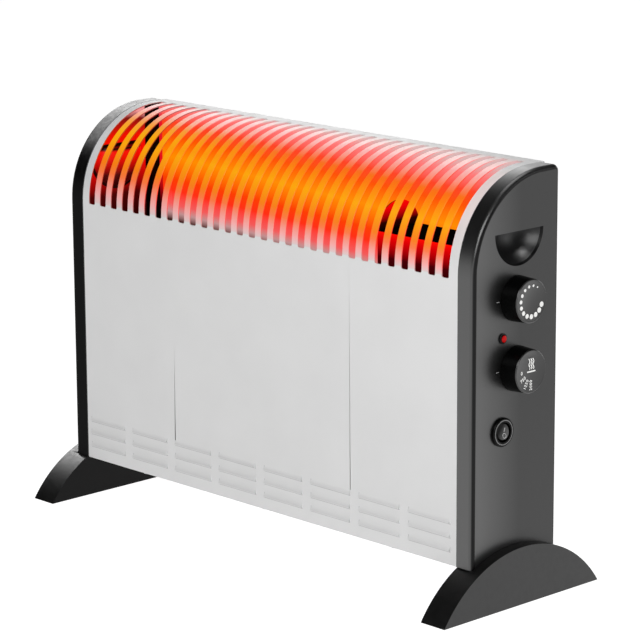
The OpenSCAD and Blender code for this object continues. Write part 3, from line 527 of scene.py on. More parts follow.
column = case_paint.maths("FRACT", case_paint.maths("DIVIDE", case_paint.coordinate(0), LOUVRE_PITCH))
above_lip = case_paint.maths("SUBTRACT", case_paint.coordinate(2), CASE_BASE + FIRST_LIP)
row = case_paint.maths("DIVIDE", above_lip, ROW_PITCH)
step = case_paint.maths("FRACT", row)
on_front = both(case_paint, (distance(case_paint, row, 1.2), "LESS_THAN", 1.3),
                (case_paint.coordinate(1), "LESS_THAN", FACE_Y))
under_lip = both(case_paint, (step, "GREATER_THAN", 0.925),
                 (distance(case_paint, column, 0.5), "LESS_THAN", 0.41))
left_end = both(case_paint, (column, "GREATER_THAN", 0.085), (column, "LESS_THAN", 0.1),
                (step, "LESS_THAN", 0.36))
shadow = case_paint.maths("MULTIPLY", on_front, case_paint.maths("MAXIMUM", under_lip, left_end))
shaded_tint = case_paint.mix(shadow, tint_under_painted_glow, colour(182, 182, 183))
# The dark line at the left cap's seam is painted shade.
seam_shadow = case_paint.maths("LESS_THAN", case_paint.coordinate(0), SEAM_X)
seamed_tint = case_paint.mix(seam_shadow, shaded_tint, colour(6, 6, 6))
case_tint = case_paint.mix(slot_wall, seamed_tint, UNLIT_LINER)
case_paint.recolour(case_tint)
print("the case's paint has", len(case_paint.nodes), "nodes")

# %% [markdown]
# ### Grained plastics
#
# Caps, feet and controls are charcoal plastic with a fine grain. Its shine has two parts: a weak one
# from the grain, and a hard one from the smooth skin that the mould leaves. The skin is a coat in the
# shader, so that a mask can take it off in some places and leave the plastic under it.

# %% Plastic and its hard skin


def plastic(name, tone, low, high, grain=0.5 * MM, depth=0.012 * MM, shine=0.5):
    finish = Finish(name, colour(*tone), (low + high) / 2)
    finish.shader.inputs["Specular IOR Level"].default_value = shine
    finish.drift(25 * MM, 0.04).gloss(5 * MM, low, high).relief(grain, depth)
    return finish


def lacquer(finish, share):
    """A hard gloss layer over the plastic, in the given share."""
    finish.links.new(share, finish.shader.inputs["Coat Weight"])
    finish.shader.inputs["Coat IOR"].default_value = 1.8
    finish.shader.inputs["Coat Roughness"].default_value = 0.32
    return finish


print("the skin is", lacquer.__doc__.lower())

# %% [markdown]
# ### The right cap
#
# The hard skin is missing on the narrow rounded edge round this cap, but for the top, and inside the
# hole of its grip. It fades towards the back of the cap's side. The normal finds the edge, and a
# range of heights and depths finds the hole.

# %% The right cap's finish
GRIP_HEIGHTS = (298 * MM, 347 * MM)
GRIP_DEPTHS = (-36 * MM, 42 * MM)
SIDE_DULLED = 0.58

cap_plastic = plastic("charcoal_plastic", (8, 8, 8), 0.30, 0.38, shine=0.2)
turned = cap_plastic.facing(0)
outward = cap_plastic.between(turned, 0.985, 0.999)
above = cap_plastic.between(cap_plastic.facing(2), 0.3, 0.5)
round_edge = cap_plastic.between(turned, 0.48, 0.72)
for kept_glossy in (outward, above):
    round_edge = cap_plastic.maths("MULTIPLY", round_edge, inverse(cap_plastic, kept_glossy))
grip_wall = both(cap_plastic, (turned, "LESS_THAN", 0.6),
                 (cap_plastic.coordinate(2), "GREATER_THAN", GRIP_HEIGHTS[0]),
                 (cap_plastic.coordinate(2), "LESS_THAN", GRIP_HEIGHTS[1]),
                 (cap_plastic.coordinate(1), "GREATER_THAN", GRIP_DEPTHS[0]),
                 (cap_plastic.coordinate(1), "LESS_THAN", GRIP_DEPTHS[1]))
round_edge = cap_plastic.maths("MAXIMUM", round_edge, grip_wall)
side_face = cap_plastic.maths("GREATER_THAN", turned, 0.98)
to_the_back = cap_plastic.between(cap_plastic.coordinate(1), -45 * MM, 5 * MM)
duller = cap_plastic.maths("MULTIPLY", cap_plastic.maths("MULTIPLY", side_face, to_the_back), SIDE_DULLED)
lacquer(cap_plastic, inverse(cap_plastic, cap_plastic.maths("ADD", round_edge, duller)))
print("the right cap's plastic has", len(cap_plastic.nodes), "nodes")

# %% [markdown]
# ### The left cap, with painted shade outside and painted glow inside
#
# Through the first slots the left cap shows from inside: its end wall, a post and the rear corner have a
# painted red glow near the top and stay black below. Each of these faces is found by its normal and its
# place. Outside it is the same plastic as the right cap, but its base colour and shine are painted darker as
# painted shade, since less of the studio's light reaches it, and its hard skin shows on its end and its back
# alone.

# %% The left cap's finish
END_WALL = -262 * MM
POST_LEFT = -267.9 * MM
POST_RIGHT = -253.5 * MM
POST_FRONT = 20 * MM
LINER_END = -253.4 * MM
REAR_CORNER = 45 * MM

# A darker copy of the cap plastic, with less shine: painted shade.
left_cap_shade_and_glow = plastic("charcoal_plastic_left_painted_shade", (2, 2, 2), 0.30, 0.38, shine=0.04)
outer_side = left_cap_shade_and_glow.maths("LESS_THAN", left_cap_shade_and_glow.facing(0), -0.9)
back_side = left_cap_shade_and_glow.maths("GREATER_THAN", left_cap_shade_and_glow.facing(1), 0.9)
lacquer(left_cap_shade_and_glow, left_cap_shade_and_glow.maths("MAXIMUM", outer_side, back_side))

cap_x, cap_y = left_cap_shade_and_glow.coordinate(0), left_cap_shade_and_glow.coordinate(1)
facing_in = (left_cap_shade_and_glow.facing(0), "GREATER_THAN", 0.7)
facing_front = (left_cap_shade_and_glow.facing(1), "LESS_THAN", -0.7)
inner_wall = both(left_cap_shade_and_glow, facing_in, (cap_x, "LESS_THAN", END_WALL))
post_root = both(left_cap_shade_and_glow, facing_front, (cap_y, "GREATER_THAN", POST_FRONT),
                 (cap_x, "LESS_THAN", POST_RIGHT), (cap_x, "GREATER_THAN", POST_LEFT))
rear_wall = both(left_cap_shade_and_glow, facing_front, (cap_y, "GREATER_THAN", REAR_CORNER),
                 (cap_x, "LESS_THAN", LINER_END))
beside_liner = both(left_cap_shade_and_glow, (cap_y, "GREATER_THAN", REAR_CORNER), (cap_x, "GREATER_THAN", LINER_END),
                    (left_cap_shade_and_glow.facing(1), "LESS_THAN", 0.1), (left_cap_shade_and_glow.facing(2), "LESS_THAN", 0.5))
# Painted red glow on the cap's inside, brighter with the height.
red_painted_glow = left_cap_shade_and_glow.ramp(climb(left_cap_shade_and_glow), [
    (0.0, BLACK), (0.30, colour(70, 3, 3)), (0.58, colour(245, 10, 5)), (0.74, colour(240, 15, 0)),
    (0.87, colour(120, 20, 15)), (0.92, colour(240, 150, 150)),
])
crimson_painted_glow = left_cap_shade_and_glow.ramp(climb(left_cap_shade_and_glow), [
    (0.0, BLACK), (0.20, colour(40, 0, 5)), (0.45, colour(230, 10, 20)), (0.85, colour(230, 20, 40)),
    (0.95, colour(235, 110, 115)),
])
inner_glow = left_cap_shade_and_glow.mix(left_cap_shade_and_glow.maths("MAXIMUM", inner_wall, post_root), BLACK, red_painted_glow)
inner_glow = left_cap_shade_and_glow.mix(rear_wall, inner_glow, crimson_painted_glow)
left_cap_shade_and_glow.glow(left_cap_shade_and_glow.mix(beside_liner, inner_glow, painted_glow_by_height(left_cap_shade_and_glow)))
print("the left cap's plastic has", len(left_cap_shade_and_glow.nodes), "nodes")

# %% [markdown]
# ### Feet, knobs and finger bowls
#
# The feet are a little rougher than the caps. The left foot's finish is a darker copy with less shine:
# painted shade, where less light reaches it. A knob has a hard skin on its face and a dull rim. The finger
# bowls are smoother, so each shows a few soft highlights. The back of the left bowl bulges into the case,
# and this dome has a painted red glow behind the first slots.

# %% Plastics for feet, knobs and bowls
foot_plastic = plastic("foot_plastic", (8, 8, 8), 0.34, 0.42, shine=0.6)
# The left foot's plastic is a darker copy of this one, with less shine: painted shade.
shaded_plastic = plastic("shaded_plastic", (4, 4, 4), 0.34, 0.42, shine=0.13)
lacquer(shaded_plastic, shaded_plastic.maths("LESS_THAN", shaded_plastic.facing(0), -0.9))
knob_plastic = plastic("knob_plastic", (3, 3, 3), 0.30, 0.38, depth=0.008 * MM, shine=0.08)
knob_face = knob_plastic.between(knob_plastic.facing(0), 0.3, 0.7)
lacquer(knob_plastic, knob_plastic.maths("MULTIPLY", knob_face, 0.72))

DOME_FROM_X = -266.1 * MM
DOME_LOW = 300 * MM
DOME_HIGH = 345 * MM

cup_plastic = plastic("cup_gloss", (11, 11, 12), 0.33, 0.36, grain=9 * MM, depth=0.001 * MM)
left_cup = plastic("cup_gloss_left", (4, 4, 4), 0.26, 0.32, grain=2 * MM, depth=0.004 * MM, shine=0.2)
dome = both(left_cup, (left_cup.coordinate(0), "GREATER_THAN", DOME_FROM_X),
            (left_cup.facing(0), "GREATER_THAN", 0.1))
# Painted red glow on the dome, brighter with the height.
dome_painted_glow = left_cup.ramp(left_cup.between(left_cup.coordinate(2), DOME_LOW, DOME_HIGH), [
    (0.0, BLACK), (0.10, colour(40, 0, 0)), (0.38, colour(75, 5, 5)), (0.77, colour(235, 10, 0)),
    (0.90, colour(245, 15, 5)), (0.95, BLACK),
])
left_cup.glow(left_cup.mix(dome, BLACK, dome_painted_glow))
print("the dome reddens from", round(1000 * DOME_LOW), "to", round(1000 * DOME_HIGH), "mm")

# %% [markdown]
# ### Switch and lamp ring
#
# The round switch's bezel carries a fine light line all round, which a mask on the distance from its
# axis draws. The hard skin of the rocker catches the light on one side and fades across it, so it
# climbs along a slope over y - z. The ring of the lamp is plain dark plastic.

# %% Finishes for the switch and the lamp's ring
SMALL_Y = -17.5 * MM
SWITCH_Z = 158.5 * MM
LAMP_Z = 242 * MM
LINE_INNER = 10.4 * MM
LINE_OUTER = 11.3 * MM


def reach_from(finish, y, z):
    """The distance from a line along X."""
    across = finish.maths("SUBTRACT", finish.coordinate(1), y)
    above = finish.maths("SUBTRACT", finish.coordinate(2), z)
    squares = finish.maths("ADD", finish.maths("POWER", across, 2.0), finish.maths("POWER", above, 2.0))
    return finish.maths("SQRT", squares)


bezel_plastic = plastic("switch_bezel", (4, 4, 4), 0.30, 0.38, shine=0.1)
bezel_reach = reach_from(bezel_plastic, SMALL_Y, SWITCH_Z)
light_line = both(bezel_plastic, (bezel_reach, "GREATER_THAN", LINE_INNER),
                  (bezel_reach, "LESS_THAN", LINE_OUTER), (bezel_plastic.facing(0), "GREATER_THAN", 0.9))
bezel_tint = bezel_plastic.mix(light_line, bezel_plastic.tint, colour(118, 118, 118))
bezel_plastic.recolour(bezel_tint)

switch_plastic = plastic("switch_gloss", (5, 5, 5), 0.30, 0.38, shine=0.1)
slope = switch_plastic.maths("SUBTRACT", switch_plastic.coordinate(1), switch_plastic.coordinate(2))
lacquer(switch_plastic, switch_plastic.between(slope, -182 * MM, -170 * MM))
lamp_ring = plastic("lamp_ring", (4, 4, 4), 0.30, 0.38, shine=0.2)
print("the light line is", round(1000 * (LINE_OUTER - LINE_INNER), 1), "mm wide")

# %% [markdown]
# ### Plastics and rubber inside
#
# The bodies of the controls, the terminal block, the cord's bush, the sleeves of the leads and the
# ceramic bushes are hidden by the case. Each has the plain colour that such a part commonly has.

# %% Finishes of the hidden parts
control_plastic = plastic("control_moulding", (40, 40, 41), 0.45, 0.55)
tan_plastic = plastic("thermostat_moulding", (176, 160, 130), 0.45, 0.55)
block_plastic = plastic("terminal_moulding", (222, 218, 206), 0.35, 0.45)
rubber = plastic("bush_rubber", (30, 30, 30), 0.6, 0.7, grain=0.8 * MM, depth=0.02 * MM)
sleeve = plastic("lead_sleeve", (176, 166, 148), 0.6, 0.75, grain=0.6 * MM, depth=0.05 * MM)
ceramic = plastic("bush_ceramic", (226, 218, 202), 0.5, 0.65, grain=0.4 * MM, depth=0.02 * MM)
hidden = (control_plastic, tan_plastic, block_plastic, rubber, sleeve, ceramic)
print("hidden parts:", [finish.material.name for finish in hidden])

# %% [markdown]
# ### Metals
#
# Screws and small plates are zinc-plated, and the coils' plates are bare rolled strip. Rolling leaves
# fine lines. Noise that is pressed flat in one direction draws such lines, and it drives the gloss
# and the relief together, as on real strip.

# %% Zinc and rolled strip
LINES_FLAT = 24
LINES_SCALE = 600.0


def metal(name, tone, low, high):
    finish = Finish(name, colour(*tone), (low + high) / 2, 1.0)
    pressed = finish.put("Mapping", vector=finish.place, Scale=(1, 1, LINES_FLAT)).outputs[0]
    lines = finish.put("TexNoise", vector=pressed, scale=LINES_SCALE, detail=3.0).outputs["Fac"]
    finish.links.new(finish.spread(lines, low, high), finish.shader.inputs["Roughness"])
    finish.drift(6 * MM, 0.06).relief(0, 0.006 * MM, height=lines)
    return finish


zinc = metal("zinc_plate", (196, 197, 200), 0.25, 0.42)
strip = metal("rolled_strip", (170, 166, 158), 0.32, 0.5)
print("metals:", zinc.material.name, strip.material.name)

# %% [markdown]
# ### The control shield
#
# The shield is a sheet box with a black heat-proof coat that hardly reflects. Its front wall and the crest
# of its round end have a painted red glow behind the last slots, more with the height. With no refraction in
# the shader its flat top stays black at a grazing angle too.

# %% Black coat with a painted red glow on its wall and crest
RED_FROM_Z = 278 * MM
SHOULDER_Z = 318.7 * MM
CREST_Z = 345 * MM

shield_coat = Finish("heat_proof_coat", colour(4, 4, 4), 0.55)
shield_coat.shader.inputs["Specular IOR Level"].default_value = 0.02
shield_coat.shader.inputs["IOR"].default_value = 1.0
shield_coat.drift(20 * MM, 0.1).relief(0.8 * MM, 0.015 * MM)
front_wall = shield_coat.maths("LESS_THAN", shield_coat.facing(1), -0.6)
crest = shield_coat.maths("GREATER_THAN", shield_coat.facing(0), 0.6)
wall_painted_glow = shield_coat.ramp(shield_coat.between(shield_coat.coordinate(2), RED_FROM_Z, SHOULDER_Z), [
    (0.0, BLACK), (0.45, colour(70, 0, 5)), (0.85, colour(220, 0, 5)), (1.0, colour(255, 10, 0)),
])
crest_painted_glow = shield_coat.ramp(shield_coat.between(shield_coat.coordinate(2), SHOULDER_Z, CREST_Z), [
    (0.0, BLACK), (0.25, colour(40, 0, 0)), (0.7, colour(235, 0, 5)), (1.0, colour(255, 10, 0)),
])
wall_part = shield_coat.mix(front_wall, BLACK, wall_painted_glow)
shield_coat.glow(shield_coat.mix(crest, wall_part, crest_painted_glow))
print("the shield's round end starts", round(1000 * SHOULDER_Z, 1), "mm above the floor")

# %% [markdown]
# ### Hot wire, lit lens and white print
#
# The wire glows orange and is a little brighter in some places. The lens is red glass with a lamp
# behind it: it shines by itself, unevenly, and it is dark where it meets its ring. The prints on the
# knobs are white ink, nearly matt.

# %% Wire, lens and ink
LENS_CLEAR = 2.7 * MM
LENS_DARK = 3.3 * MM

wire = Finish("hot_wire", colour(200, 90, 50), 0.5)
wire.drift(4 * MM, 0.1)
wire.glow(wire.ramp(wire.noise(12 * MM), [(0.35, colour(255, 90, 10)), (0.65, colour(255, 150, 40))]), 2.5)

lamp_red = Finish("lamp_red", colour(60, 2, 3), 0.3)
lamp_red.shader.inputs["Specular IOR Level"].default_value = 0.12
lamp_red.drift(1 * MM, 0.15).relief(0.7 * MM, 0.01 * MM)
lit_lens = lamp_red.ramp(lamp_red.noise(1.5 * MM), [(0.3, colour(150, 0, 0)), (0.7, colour(185, 2, 2))])
lens_edge = lamp_red.between(reach_from(lamp_red, SMALL_Y, LAMP_Z), LENS_CLEAR, LENS_DARK)
lamp_red.recolour(lamp_red.mix(lens_edge, lamp_red.tint, colour(6, 2, 2)))
lamp_red.glow(lamp_red.mix(lens_edge, lit_lens, BLACK))

print_ink = Finish("white_print", colour(236, 236, 234), 0.55)
print_ink.drift(2 * MM, 0.03).relief(0.2 * MM, 0.004 * MM)
print("glowing:", wire.material.name, lamp_red.material.name)

# %% [markdown]
# ### Finishes of the solids
#
# Most inner parts keep their solids and only get a finish. Zinc is the usual one, so a table names
# just the others.

# %% Paint every solid
FINISHES = {
    "rear_panel": rear_paint,
    "bottom_grille": grille_paint,
    "rear_liner": liner,
    "thermostat_body": tan_plastic,
    "selector_body": control_plastic,
    "terminal_block": block_plastic,
    "cord_bush": rubber,
    "control_shield": shield_coat,
    "thermal_cutout": ceramic,
    "end_ceramics": ceramic,
    "mid_ceramics": ceramic,
    "left_element_plate": strip,
    "mid_element_plate": strip,
    "right_element_plate": strip,
    "element_rails": strip,
}
for name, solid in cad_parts.items():
    solid.data.materials.clear()
    solid.data.materials.append(FINISHES.get(name, zinc).material)
print(len(FINISHES), "solids have their own finish, the rest are zinc-plated")

# %% [markdown]
# ## Skins over the solids
#
# A moulded or pressed part has no knife edges. A copy of the solid is merged, its flat faces are
# joined, and a narrow bevel rounds each sharp edge, so that the edges catch the light. The copy
# stands for the solid. A bevel is enough here because the solid's shape is already right.

# %% A helper that makes a skin


def bevel(piece, name, width, segments=2, clamp=True):
    """A rounding of all edges that turn by more than 40 degrees."""
    rounding = piece.modifiers.new(name, "BEVEL")
    rounding.width = width
    rounding.segments = segments
    rounding.limit_method = "ANGLE"
    rounding.angle_limit = math.radians(40)
    rounding.use_clamp_overlap = clamp
    return rounding


def skin(node, body, slot, finish, width):
    """A copy of a solid with rounded edges, which stands for it."""
    piece = bpy.data.objects.new(node + "_skin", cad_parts[node].data.copy())
    bpy.context.scene.collection.objects.link(piece)
    edit(piece, "SELECT")
    bpy.ops.mesh.customdata_custom_splitnormals_clear()
    bpy.ops.mesh.remove_doubles(threshold=0.002 * MM)
    bpy.ops.mesh.dissolve_limited(angle_limit=math.radians(0.4))
    done()
    bevel(piece, "soften", width)
    apply_modifiers(piece)
    hand_over(piece, node + "_skin", body, slot, finish.material)
    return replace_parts(piece, node)


print("skins:", skin.__doc__)

# %% [markdown]
# Caps, feet, bowls, switch and lamp are all mouldings of their own, so one table gives each its body,
# its slot, its finish and the width of its rounded edges. The feet are rounded most, the lamp least.

# %% Make the skins
SKINS = [
    ("left_cap", "housing", "cap_plastic", left_cap_shade_and_glow, 0.3 * MM),
    ("right_cap", "housing", "cap_plastic", cap_plastic, 0.3 * MM),
    ("left_foot", "housing", "foot_plastic", shaded_plastic, 0.5 * MM),
    ("right_foot", "housing", "foot_plastic", foot_plastic, 0.5 * MM),
    ("left_grip_cup", "housing", "cup_plastic", left_cup, 0.3 * MM),
    ("right_grip_cup", "housing", "cup_plastic", cup_plastic, 0.3 * MM),
    ("switch_housing", "housing", "switch_plastic", bezel_plastic, 0.25 * MM),
    ("switch_rocker", "rocker", "switch_plastic", switch_plastic, 0.3 * MM),
    ("lamp_holder", "housing", "switch_plastic", lamp_ring, 0.2 * MM),
    ("lamp_lens", "housing", "lamp_red", lamp_red, 0.2 * MM),
]
for row in SKINS:
    skin(*row)
print("skins made:", len(SKINS))

# %% [markdown]
# ## The case, pressed from one sheet
#
# The case is one strip of sheet steel: folded in at the bottom, up the front, round the curve, back
# over the top and folded down. So it is drawn flat first, as (x, distance along the strip), where the
# slots are plain cut-outs and the louvres are pressed out. Then every point goes to its place round
# the fold lines, and a modifier gives the sheet its thickness.

# %% Sizes of the sheet, from the solid that it stands for


def box_of(node):
    """The lowest and the highest corner of a solid."""
    points = [vertex.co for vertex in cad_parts[node].data.vertices]
    return [Vector([pick_one(p[k] for p in points) for k in range(3)]) for pick_one in (min, max)]


sheet_low, sheet_high = box_of("front_panel")
HALF_W = sheet_high.x
HALF_D = sheet_high.y
BASE = sheet_low.z
TOP = sheet_high.z
CURVE_R = TOP - CURVE_Z
SHEET = 1.0 * MM
FOLD = 12 * MM
FRONT = CURVE_Z - BASE
ARC = CURVE_R * math.pi / 2
BACK = FRONT + ARC + HALF_D - CURVE_Y
print("the strip is", round(1000 * (BACK + 2 * FOLD)), "mm long")

# %% [markdown]
# Thirty narrow slots with rounded ends start just below the curve and end on the flat top. Eight
# columns of louvres stand in three rows low on the front. A louvre is pressed out at its foot, the
# lip, and runs back into the face at its head.

# %% Places of slots and louvres
SLOT_PITCH = 16.36 * MM
SLOTS = [(i - 14.5) * SLOT_PITCH for i in range(30)]
SLOT_HALF = 4 * MM
SLOT_ROUND = 1.5 * MM
SLOT_START = FRONT - 1.7 * MM
SLOT_END = FRONT + ARC + 6.5 * MM
LOUVRES = [(i - 3.5) * LOUVRE_PITCH for i in range(8)]
LOUVRE_HALF = 25.25 * MM
LIPS = [FIRST_LIP + j * ROW_PITCH for j in range(3)]
LOUVRE_H = 4.6 * MM
LOUVRE_OUT = -HALF_D - sheet_low.y
print("slots:", len(SLOTS), "louvres:", len(LOUVRES) * len(LIPS))

# %% [markdown]
# A grid is the right start, because a slot is then only a few faces that are deleted. Its lines
# aren't evenly spaced: there is one at each edge of a slot or louvre, and one every three degrees
# round the curve.

# %% Draw the strip flat
ARC_STEPS = 30

slot_lines = (-SLOT_HALF, SLOT_ROUND - SLOT_HALF, SLOT_HALF - SLOT_ROUND, SLOT_HALF)
across = {-HALF_W, HALF_W}
across |= {x + aside for x in SLOTS for aside in slot_lines}
across |= {x + aside for x in LOUVRES for aside in (-LOUVRE_HALF, LOUVRE_HALF)}
along = {-FOLD, 0, SLOT_START, SLOT_START + SLOT_ROUND, SLOT_END - SLOT_ROUND, SLOT_END, BACK, BACK + FOLD}
along |= {lip + rise for lip in LIPS for rise in (0, 0.2 * LOUVRE_H, LOUVRE_H)}
along |= {FRONT + ARC * k / ARC_STEPS for k in range(1, ARC_STEPS)}
across, along = sorted(across), sorted(along)

bpy.ops.mesh.primitive_grid_add(x_subdivisions=len(across) - 1, y_subdivisions=len(along) - 1, size=2)
case = bpy.context.object
for vertex in case.data.vertices:
    column = round((vertex.co.x + 1) / 2 * (len(across) - 1))
    row = round((vertex.co.y + 1) / 2 * (len(along) - 1))
    vertex.co = (across[column], along[row], 0)
print("flat strip:", len(across), "by", len(along), "lines")

# %% [markdown]
# Two tests say which faces belong to a slot or to a louvre. The faces in the corners of a slot stay,
# since its ends are round.

# %% Which faces are slots, and which are louvres
NEAR = 0.01 * MM


def near(first, second):
    return abs(first - second) < NEAR


def from_slot(x):
    """How far x is from the middle of the nearest slot."""
    return min(abs(x - middle) for middle in SLOTS)


def in_slot(centre, normal):
    aside = from_slot(centre.x)
    inner = aside < SLOT_HALF - SLOT_ROUND and SLOT_START < centre.y < SLOT_END
    outer = aside < SLOT_HALF and SLOT_START + SLOT_ROUND < centre.y < SLOT_END - SLOT_ROUND
    return inner or outer


def in_louvre(centre, normal):
    aside = min(abs(centre.x - x) for x in LOUVRES)
    return aside < LOUVRE_HALF and any(0 < centre.y - lip < LOUVRE_H for lip in LIPS)


print("two points are one within", round(1000 * NEAR, 3), "mm")

# %% [markdown]
# The slots' faces are deleted, and the louvres' faces are extruded outward in one go. The upper
# points of each louvre then go back into the sheet, and the face under its lip is deleted, since a
# louvre is open there.

# %% Cut the slots and press the louvres
edit(case)
select_faces(case, in_slot)
bpy.ops.mesh.delete(type="FACE")
select_faces(case, in_louvre)
bpy.ops.mesh.extrude_region_move(TRANSFORM_OT_translate={"value": (0, 0, LOUVRE_OUT)})
done()
for vertex in case.data.vertices:
    if vertex.co.z > 0 and any(near(vertex.co.y, lip + LOUVRE_H) for lip in LIPS):
        vertex.co.z = 0
edit(case, "SELECT")
bpy.ops.mesh.remove_doubles(threshold=NEAR / 2)
select_faces(case, lambda centre, normal: centre.z > 0 and any(near(centre.y, lip) for lip in LIPS))
bpy.ops.mesh.delete(type="FACE")
done()
print("cut and pressed:", len(case.data.polygons), "faces")

# %% [markdown]
# Folding is a rule for each point: its distance along the strip says where it lies on the front,
# the curve, the top or a fold. In each corner of a slot one point moves towards the corner on the
# way, which turns the stepped end into a round one.

# %% Fold the strip


def on_sheet(s):
    """Where the strip's point at distance s from the front's bottom edge lies, as (y, z)."""
    if s < 0:
        return -HALF_D - s, BASE
    if s < FRONT:
        return -HALF_D, BASE + s
    if s < FRONT + ARC:
        turn = (s - FRONT) / CURVE_R
        return CURVE_Y - CURVE_R * math.cos(turn), CURVE_Z + CURVE_R * math.sin(turn)
    if s < BACK:
        return CURVE_Y + s - FRONT - ARC, TOP
    return HALF_D, TOP - (s - BACK)


corner = SLOT_ROUND * (1 - math.sqrt(0.5))
for vertex in case.data.vertices:
    x, s, out = vertex.co
    slot_x = min(SLOTS, key=lambda middle: abs(x - middle))
    at_corner = near(abs(x - slot_x), SLOT_HALF - SLOT_ROUND)
    for end, inward in ((SLOT_START, 1), (SLOT_END, -1)):
        if at_corner and near(s, end + inward * SLOT_ROUND):
            x = slot_x + math.copysign(SLOT_HALF - corner, x - slot_x)
            s = end + inward * corner
    y, z = on_sheet(s)
    vertex.co = (x, y - out, z)
print("the top lies at", round(1000 * max(vertex.co.z for vertex in case.data.vertices), 1), "mm")

# %% [markdown]
# A punched edge is rolled by the tool, and powder coat rounds it further. So the rim of each slot
# gets a wider bevel than the rest of the sheet. A rim is an edge with one face only, and a bevel
# weight marks it while that is still true, before the sheet has its thickness.

# %% Thickness and rolled edges
ROLLED = 0.46 * MM
SOFTENED = 0.15 * MM

uses = {}
for face in case.data.polygons:
    for pair in face.edge_keys:
        uses[pair] = uses.get(pair, 0) + 1
weights = case.data.attributes.new("bevel_weight_edge", "FLOAT", "EDGE")
for edge in case.data.edges:
    middle = (case.data.vertices[edge.vertices[0]].co + case.data.vertices[edge.vertices[1]].co) / 2
    at_slots = from_slot(middle.x) < SLOT_HALF + NEAR and middle.z > CURVE_Z - 3 * MM
    if uses[edge.key] == 1 and at_slots:
        weights.data[edge.index].value = 1.0
thick = case.modifiers.new("thick", "SOLIDIFY")
thick.thickness = SHEET
thick.offset = -1
thick.use_even_offset = True
rolled = bevel(case, "rolled", ROLLED, segments=3, clamp=False)
rolled.limit_method = "WEIGHT"
bevel(case, "soft", SOFTENED, clamp=False)
apply_modifiers(case)
hand_over(case, "case_sheet", "housing", "case_paint", case_paint.material)
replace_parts(case, "front_panel")
print("rim edges of the slots are rolled by", round(1000 * ROLLED, 2), "mm")

# %% [markdown]
# ## Coils and leads
#
# Wire and sleeves are round tubes along a path. A curve with a bevel depth makes them, which is less
# work than extruding a ring again and again. A path with smooth bends is drawn through a few points.

# %% A helper for tubes


def join(parts):
    """Turns curves and words into meshes and joins them."""
    bpy.ops.object.select_all(action="DESELECT")
    for part in parts:
        part.select_set(True)
    bpy.context.view_layer.objects.active = parts[0]
    bpy.ops.object.convert(target="MESH")
    if len(parts) > 1:
        bpy.ops.object.join()
    return bpy.context.object


def tube(name, paths, radius, slot, finish, smooth=True, sides=3):
    """One piece of round tubes along paths, each a list of points in metres."""
    parts = []
    for points in paths:
        bpy.ops.curve.primitive_nurbs_path_add()
        part = bpy.context.object
        spline = part.data.splines[0]
        spline.points.add(len(points) - len(spline.points))
        for knot, point in zip(spline.points, points):
            knot.co = (*point, 1)
        spline.order_u = 3 if smooth else 2
        spline.use_endpoint_u = True
        spline.resolution_u = 8 if smooth else 1
        part.data.bevel_depth = radius
        part.data.bevel_resolution = sides
        part.data.use_fill_caps = True
        parts.append(part)
    return hand_over(join(parts), name, "housing", slot, finish.material)


print("tubes:", tube.__doc__)

# %% [markdown]
# A heater's resistance wire is wound very finely, here in 148 turns, and hangs in ceramic bushes.
# Twelve points to a turn look round at this size, and a tail at each end runs to the bush there.

# %% Two coils
COIL_Z = 150 * MM
WINDINGS = 148
TURN_POINTS = 12
COIL_START = -230 * MM
COIL_STOP = 118 * MM
COIL_GAP = 3 * MM
TAIL_ENDS = (-250.7 * MM, 138.5 * MM)
WIRE = 0.45 * MM


def winding(y, radius):
    """A tail, a fine winding and a tail."""
    points = [(TAIL_ENDS[0], y, COIL_Z), (COIL_START - COIL_GAP, y, COIL_Z)]
    for step in range(TURN_POINTS * WINDINGS + 1):
        turn = 2 * math.pi * step / TURN_POINTS
        x = COIL_START + step / (TURN_POINTS * WINDINGS) * (COIL_STOP - COIL_START)
        points.append((x, y + radius * math.cos(turn), COIL_Z + radius * math.sin(turn)))
    return points + [(COIL_STOP + COIL_GAP, y, COIL_Z), (TAIL_ENDS[1], y, COIL_Z)]


for node, y, radius in (("small_coil", -16 * MM, 4 * MM), ("large_coil", 16 * MM, 6 * MM)):
    coil = tube(node + "_wire", [winding(y, radius)], WIRE, "heating_wire", wire, smooth=False, sides=2)
    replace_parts(coil, node)
print("each coil has", WINDINGS, "turns")

# %% [markdown]
# The leads are stiff insulated wires between terminals. Each is bent by hand in the factory, so a
# short list of points in millimetres is its natural description.

# %% Leads
LEADS = [
    [(138.5, -16, 150), (152.5, -16, 150), (197, -14, 200.7), (225, -7, 208.7), (237, -7, 208.7)],
    [(138.5, 16, 150), (152.5, 16, 150), (197, 14, 200.7), (225, 7, 208.7), (237, 7, 208.7)],
    [(237, 0, 208.7), (227, 0, 208.7), (219, 2, 232.7), (225, 5, 275), (237, 5, 275)],
    [(237, -5, 275), (225, -5, 275), (211, -16, 232.7), (211, -22, 192.7), (231.5, -17.5, 164),
     (243.5, -17.5, 164)],
    [(145.5, -4, 79), (159.5, -4, 79), (213.5, -17.5, 128.5), (231.5, -17.5, 153), (243.5, -17.5, 153)],
    [(254.5, -17.5, 242), (240.5, -17.5, 242), (225.5, -9.5, 188.5), (231.5, -14.5, 158.5),
     (239.5, -17.5, 158.5), (243.5, -17.5, 158.5)],
]
routes = [[(x * MM, y * MM, z * MM) for x, y, z in route] for route in LEADS]
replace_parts(tube("lead_sleeves", routes, 1.1 * MM, "lead_sleeve", sleeve), "leads")
print("leads:", len(LEADS))

# %% [markdown]
# ## Knobs and prints
#
# Each knob keeps its solid's shape, and its face is let in by 0.2 mm inside a narrow rim, so that the
# print on it lies below the rim. Prints are thin raised shapes and turn with their knob.

